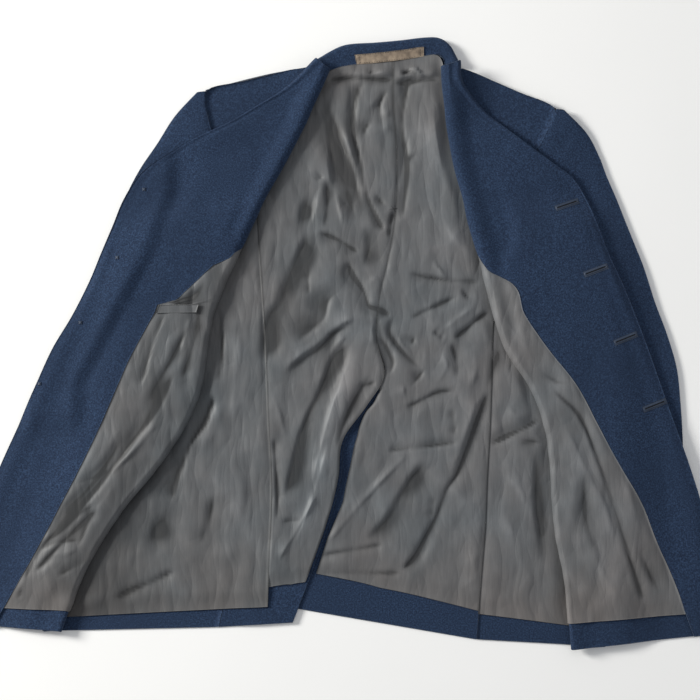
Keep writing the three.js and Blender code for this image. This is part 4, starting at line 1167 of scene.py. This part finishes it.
def makeWool():
    # milled wool serge, raised and pressed: a matt blue-grey ground with lighter fibres and a fine nap
    material, add, here = newMaterial("milled_wool_serge_blue_grey")
    # tufts about 2 mm across
    mottle = add("TexNoise", {
        "Vector": here, "Scale": 520.0, "Detail": 2.0, "Roughness": 0.6})
    patches = add("TexNoise", {"Vector": here, "Scale": 9.0, "Detail": 4.0})
    ground = add("ValToRGB", {"Fac": (mottle, "Fac")})
    setStops(ground.color_ramp, (0.34, woolColours["deep"]), (0.70, woolColours["fibre"]))
    ground.color_ramp.elements.new(0.52).color = linear(woolColours["ground"])
    amount = add("MapRange", {
        "Value": (patches, "Fac"), "From Min": 0.4, "From Max": 0.7, "To Min": 0.0, "To Max": 0.45})
    colour = add("Mix", data_type="RGBA", inputs={
        mixFactor: (amount, "Result"), mixFirst: (ground, "Color"),
        mixSecond: linear(woolColours["patch"])})
    fuzz = add("TexNoise", {"Vector": here, "Scale": 700.0, "Detail": 2.0})
    relief = add("Bump", {"Height": (fuzz, "Fac"), "Strength": 0.55, "Distance": 0.0009})
    shader = add("BsdfPrincipled", {
        "Base Color": (colour, mixResult), "Roughness": 0.92, "Sheen Weight": 0.22,
        "Sheen Roughness": 0.45, "Sheen Tint": linear("#9fb4d2"), "Specular IOR Level": 0.25,
        "Normal": (relief, "Normal")})
    add("OutputMaterial", {"Surface": (shader, "BSDF")})
    return material


liningColours = {"cool": "#5f6468", "warm": "#6a696a", "aged": "#6e6661"}


def makeSatin():
    # worn viscose satin: grey with a soft lengthwise gleam, browned by age towards hem and neck
    material, add, here = newMaterial("viscose_satin_lining_grey")
    tone = add("TexNoise", {
        "Vector": here, "Scale": 7.0, "Detail": 5.0, "Roughness": 0.6})
    ramp = add("ValToRGB", {"Fac": (tone, "Fac")})
    setStops(ramp.color_ramp, (0.32, liningColours["cool"]), (0.68, liningColours["warm"]))
    split = add("SeparateXYZ", {"Vector": here})
    hem = add("MapRange", {
        "Value": (split, "Y"), "From Min": -0.24, "From Max": -0.37, "To Min": 0.0, "To Max": 0.7})
    neck = add("MapRange", {
        "Value": (split, "Y"), "From Min": 0.22, "From Max": 0.36, "To Min": 0.0, "To Max": 0.5})
    both = add("Math", {0: (hem, "Result"), 1: (neck, "Result")}, operation="MAXIMUM")
    aged = add("Math", {0: (both, "Value"), 1: (tone, "Fac")}, operation="MULTIPLY")
    colour = add("Mix", data_type="RGBA", inputs={
        mixFactor: (aged, "Value"), mixFirst: (ramp, "Color"), mixSecond: linear(liningColours["aged"])})
    # threads are 0.4 mm; drawn as slubs about 1.5 mm apart so that they show
    stretch = add("Mapping", {"Vector": here, "Scale": (700.0, 60.0, 60.0)})
    slubs = add("TexNoise", {"Vector": (stretch, "Vector"), "Scale": 1.0, "Detail": 2.0})
    speck = add("MapRange", {
        "Value": (slubs, "Fac"), "From Min": 0.3, "From Max": 0.7, "To Min": 0.92, "To Max": 1.06})
    # painted shade and highlight: the press tone darkens hollows, creases and seams and lightens ridges
    press = add("Attribute", attribute_name="press")
    grimeAndPaintedShade = add("MapRange", {
        "Value": (press, "Fac"), "From Min": -4.5, "From Max": 4.5, "To Min": 0.30, "To Max": 1.42})
    # one side less handled
    # lighter towards the wearer's left
    lighterToWearersLeft = add("MapRange", {
        "Value": (split, "X"), "From Min": -0.28, "From Max": 0.20, "To Min": 0.90, "To Max": 1.16})
    even = add("Math", {0: (speck, "Result"), 1: (lighterToWearersLeft, "Result")}, operation="MULTIPLY")
    tint = add("Math", {0: (even, "Value"), 1: (grimeAndPaintedShade, "Result")}, operation="MULTIPLY")
    colourWithPaintedShade = add("VectorMath", {0: (colour, mixResult), 1: (tint, "Value")}, operation="MULTIPLY")
    # fine creasing: two nets of sharp wandering lines, 26 and 37 mm apart and 90 and 125 mm long
    wander = add("TexNoise", {"Vector": here, "Scale": 11.0, "Detail": 2.0})
    shifted = add("VectorMath", {0: (wander, "Color"), "Scale": 0.022}, operation="SCALE")
    wandering = {0: here, 1: (shifted, "Vector")}
    places = add("VectorMath", wandering, operation="ADD")
    relief = None
    for turn, across, along, depth in ((1.25, 38.0, 11.0, 0.0020), (-0.35, 27.0, 8.0, 0.0022)):
        laid = add("Mapping", {
            "Vector": (places, "Vector"), "Rotation": (0.0, 0.0, turn), "Scale": (across, along, 20.0)})
        lines = add("TexNoise", {
            "Vector": (laid, "Vector"), "Scale": 1.0, "Detail": 1.5, "Offset": 1.0,
            "Gain": 1.5}, noise_type="RIDGED_MULTIFRACTAL", normalize=False)
        inputs = {"Height": (lines, "Fac"), "Strength": 0.5, "Distance": depth}
        if relief:
            inputs["Normal"] = (relief, "Normal")
        relief = add("Bump", inputs, invert=True)
    relief = add("Bump", {
        "Height": (slubs, "Fac"), "Strength": 0.2, "Distance": 0.0004, "Normal": (relief, "Normal")})
    gloss = add("MapRange", {
        "Value": (tone, "Fac"), "From Min": 0.3, "From Max": 0.7, "To Min": 0.50, "To Max": 0.62})
    shader = add("BsdfPrincipled", {
        "Base Color": (colourWithPaintedShade, "Vector"), "Roughness": (gloss, "Result"), "Specular IOR Level": 0.34,
        "Sheen Weight": 0.14, "Sheen Roughness": 0.35, "Normal": (relief, "Normal")})
    add("OutputMaterial", {"Surface": (shader, "BSDF")})
    return material


def makeTape():
    # woven cotton tape, once white, browned by hands: dull, with a visible cross rib
    material, add, here = newMaterial("cotton_tape_woven_browned")
    ribs = add("TexWave", {
        "Vector": here, "Scale": 190.0, "Distortion": 1.5}, bands_direction="X")
    grimeAndPaintedShade = add("TexNoise", {"Vector": here, "Scale": 120.0, "Detail": 4.0})
    ramp = add("ValToRGB", {"Fac": (grimeAndPaintedShade, "Fac")})
    setStops(ramp.color_ramp, (0.3, "#6f6255"), (0.7, "#a08f7c"))
    relief = add("Bump", {"Height": (ribs, "Fac"), "Strength": 0.5, "Distance": 0.0005})
    shader = add("BsdfPrincipled", {
        "Base Color": (ramp, "Color"), "Roughness": 0.88, "Sheen Weight": 0.1,
        "Normal": (relief, "Normal")})
    add("OutputMaterial", {"Surface": (shader, "BSDF")})
    return material


def makeBrass():
    # gilt brass, stamped and polished, dulled a little by handling
    material, add, here = newMaterial("gilt_brass_stamped_polished")
    dull = add("TexNoise", {"Vector": here, "Scale": 260.0, "Detail": 5.0})
    ramp = add("ValToRGB", {"Fac": (dull, "Fac")})
    setStops(ramp.color_ramp, (0, "#8a6d33"), (1, "#c9a95c"))
    rough = add("MapRange", {
        "Value": (dull, "Fac"), "From Min": 0.3, "From Max": 0.7, "To Min": 0.22, "To Max": 0.42})
    shader = add("BsdfPrincipled", {
        "Base Color": (ramp, "Color"), "Roughness": (rough, "Result"), "Metallic": 1.0})
    add("OutputMaterial", {"Surface": (shader, "BSDF")})
    return material


def makeThread(name, colour, hollow):
    # twisted thread, waxed: a slight shine on each turn; painted shade where it lies deep, in a buttonhole's
    # slit
    material, add, here = newMaterial(name)
    twist = add("TexNoise", {"Vector": here, "Scale": 900.0, "Detail": 2.0})
    ramp = add("ValToRGB", {"Fac": (twist, "Fac")})
    setStops(ramp.color_ramp, (0, hollow), (1, colour))
    press = add("Attribute", attribute_name="press")
    depth = add("MapRange", {
        "Value": (press, "Fac"), "From Min": -4.0, "From Max": 0.0, "To Min": 0.06, "To Max": 1.0})
    both = {0: (ramp, "Color"), 1: (depth, "Result")}
    deep = add("VectorMath", both, operation="MULTIPLY")
    relief = add("Bump", {"Height": (twist, "Fac"), "Strength": 0.4, "Distance": 0.0004})
    shader = add("BsdfPrincipled", {
        "Base Color": (deep, "Vector"), "Roughness": 0.6, "Normal": (relief, "Normal")})
    add("OutputMaterial", {"Surface": (shader, "BSDF")})
    return material


# a fabric is its thickness, its material and its slot
wool, satin = (cloth["wool"], makeWool(), "wool"), (cloth["lining"], makeSatin(), "lining")
tape, brass = makeTape(), makeBrass()
navyThread = makeThread("silk_twist_thread_navy", "#33425a", "#1c2635")
greyThread = makeThread("cotton_thread_waxed_grey", "#3a3b3c", "#232425")
for side in ("right", "left"):
    makeBack(side, wool)
    makeBackLining(side, satin)
    makeSide(side, wool, satin)
    makeFront(side, wool, satin)
    makeSleeve(side, wool)
    print(side, "half made")
makeCollar(wool)
makeLoop(tape)
makeWelt(satin)
makeButtons(brass)
makeSewing(navyThread, greyThread)
print("trimmings made")
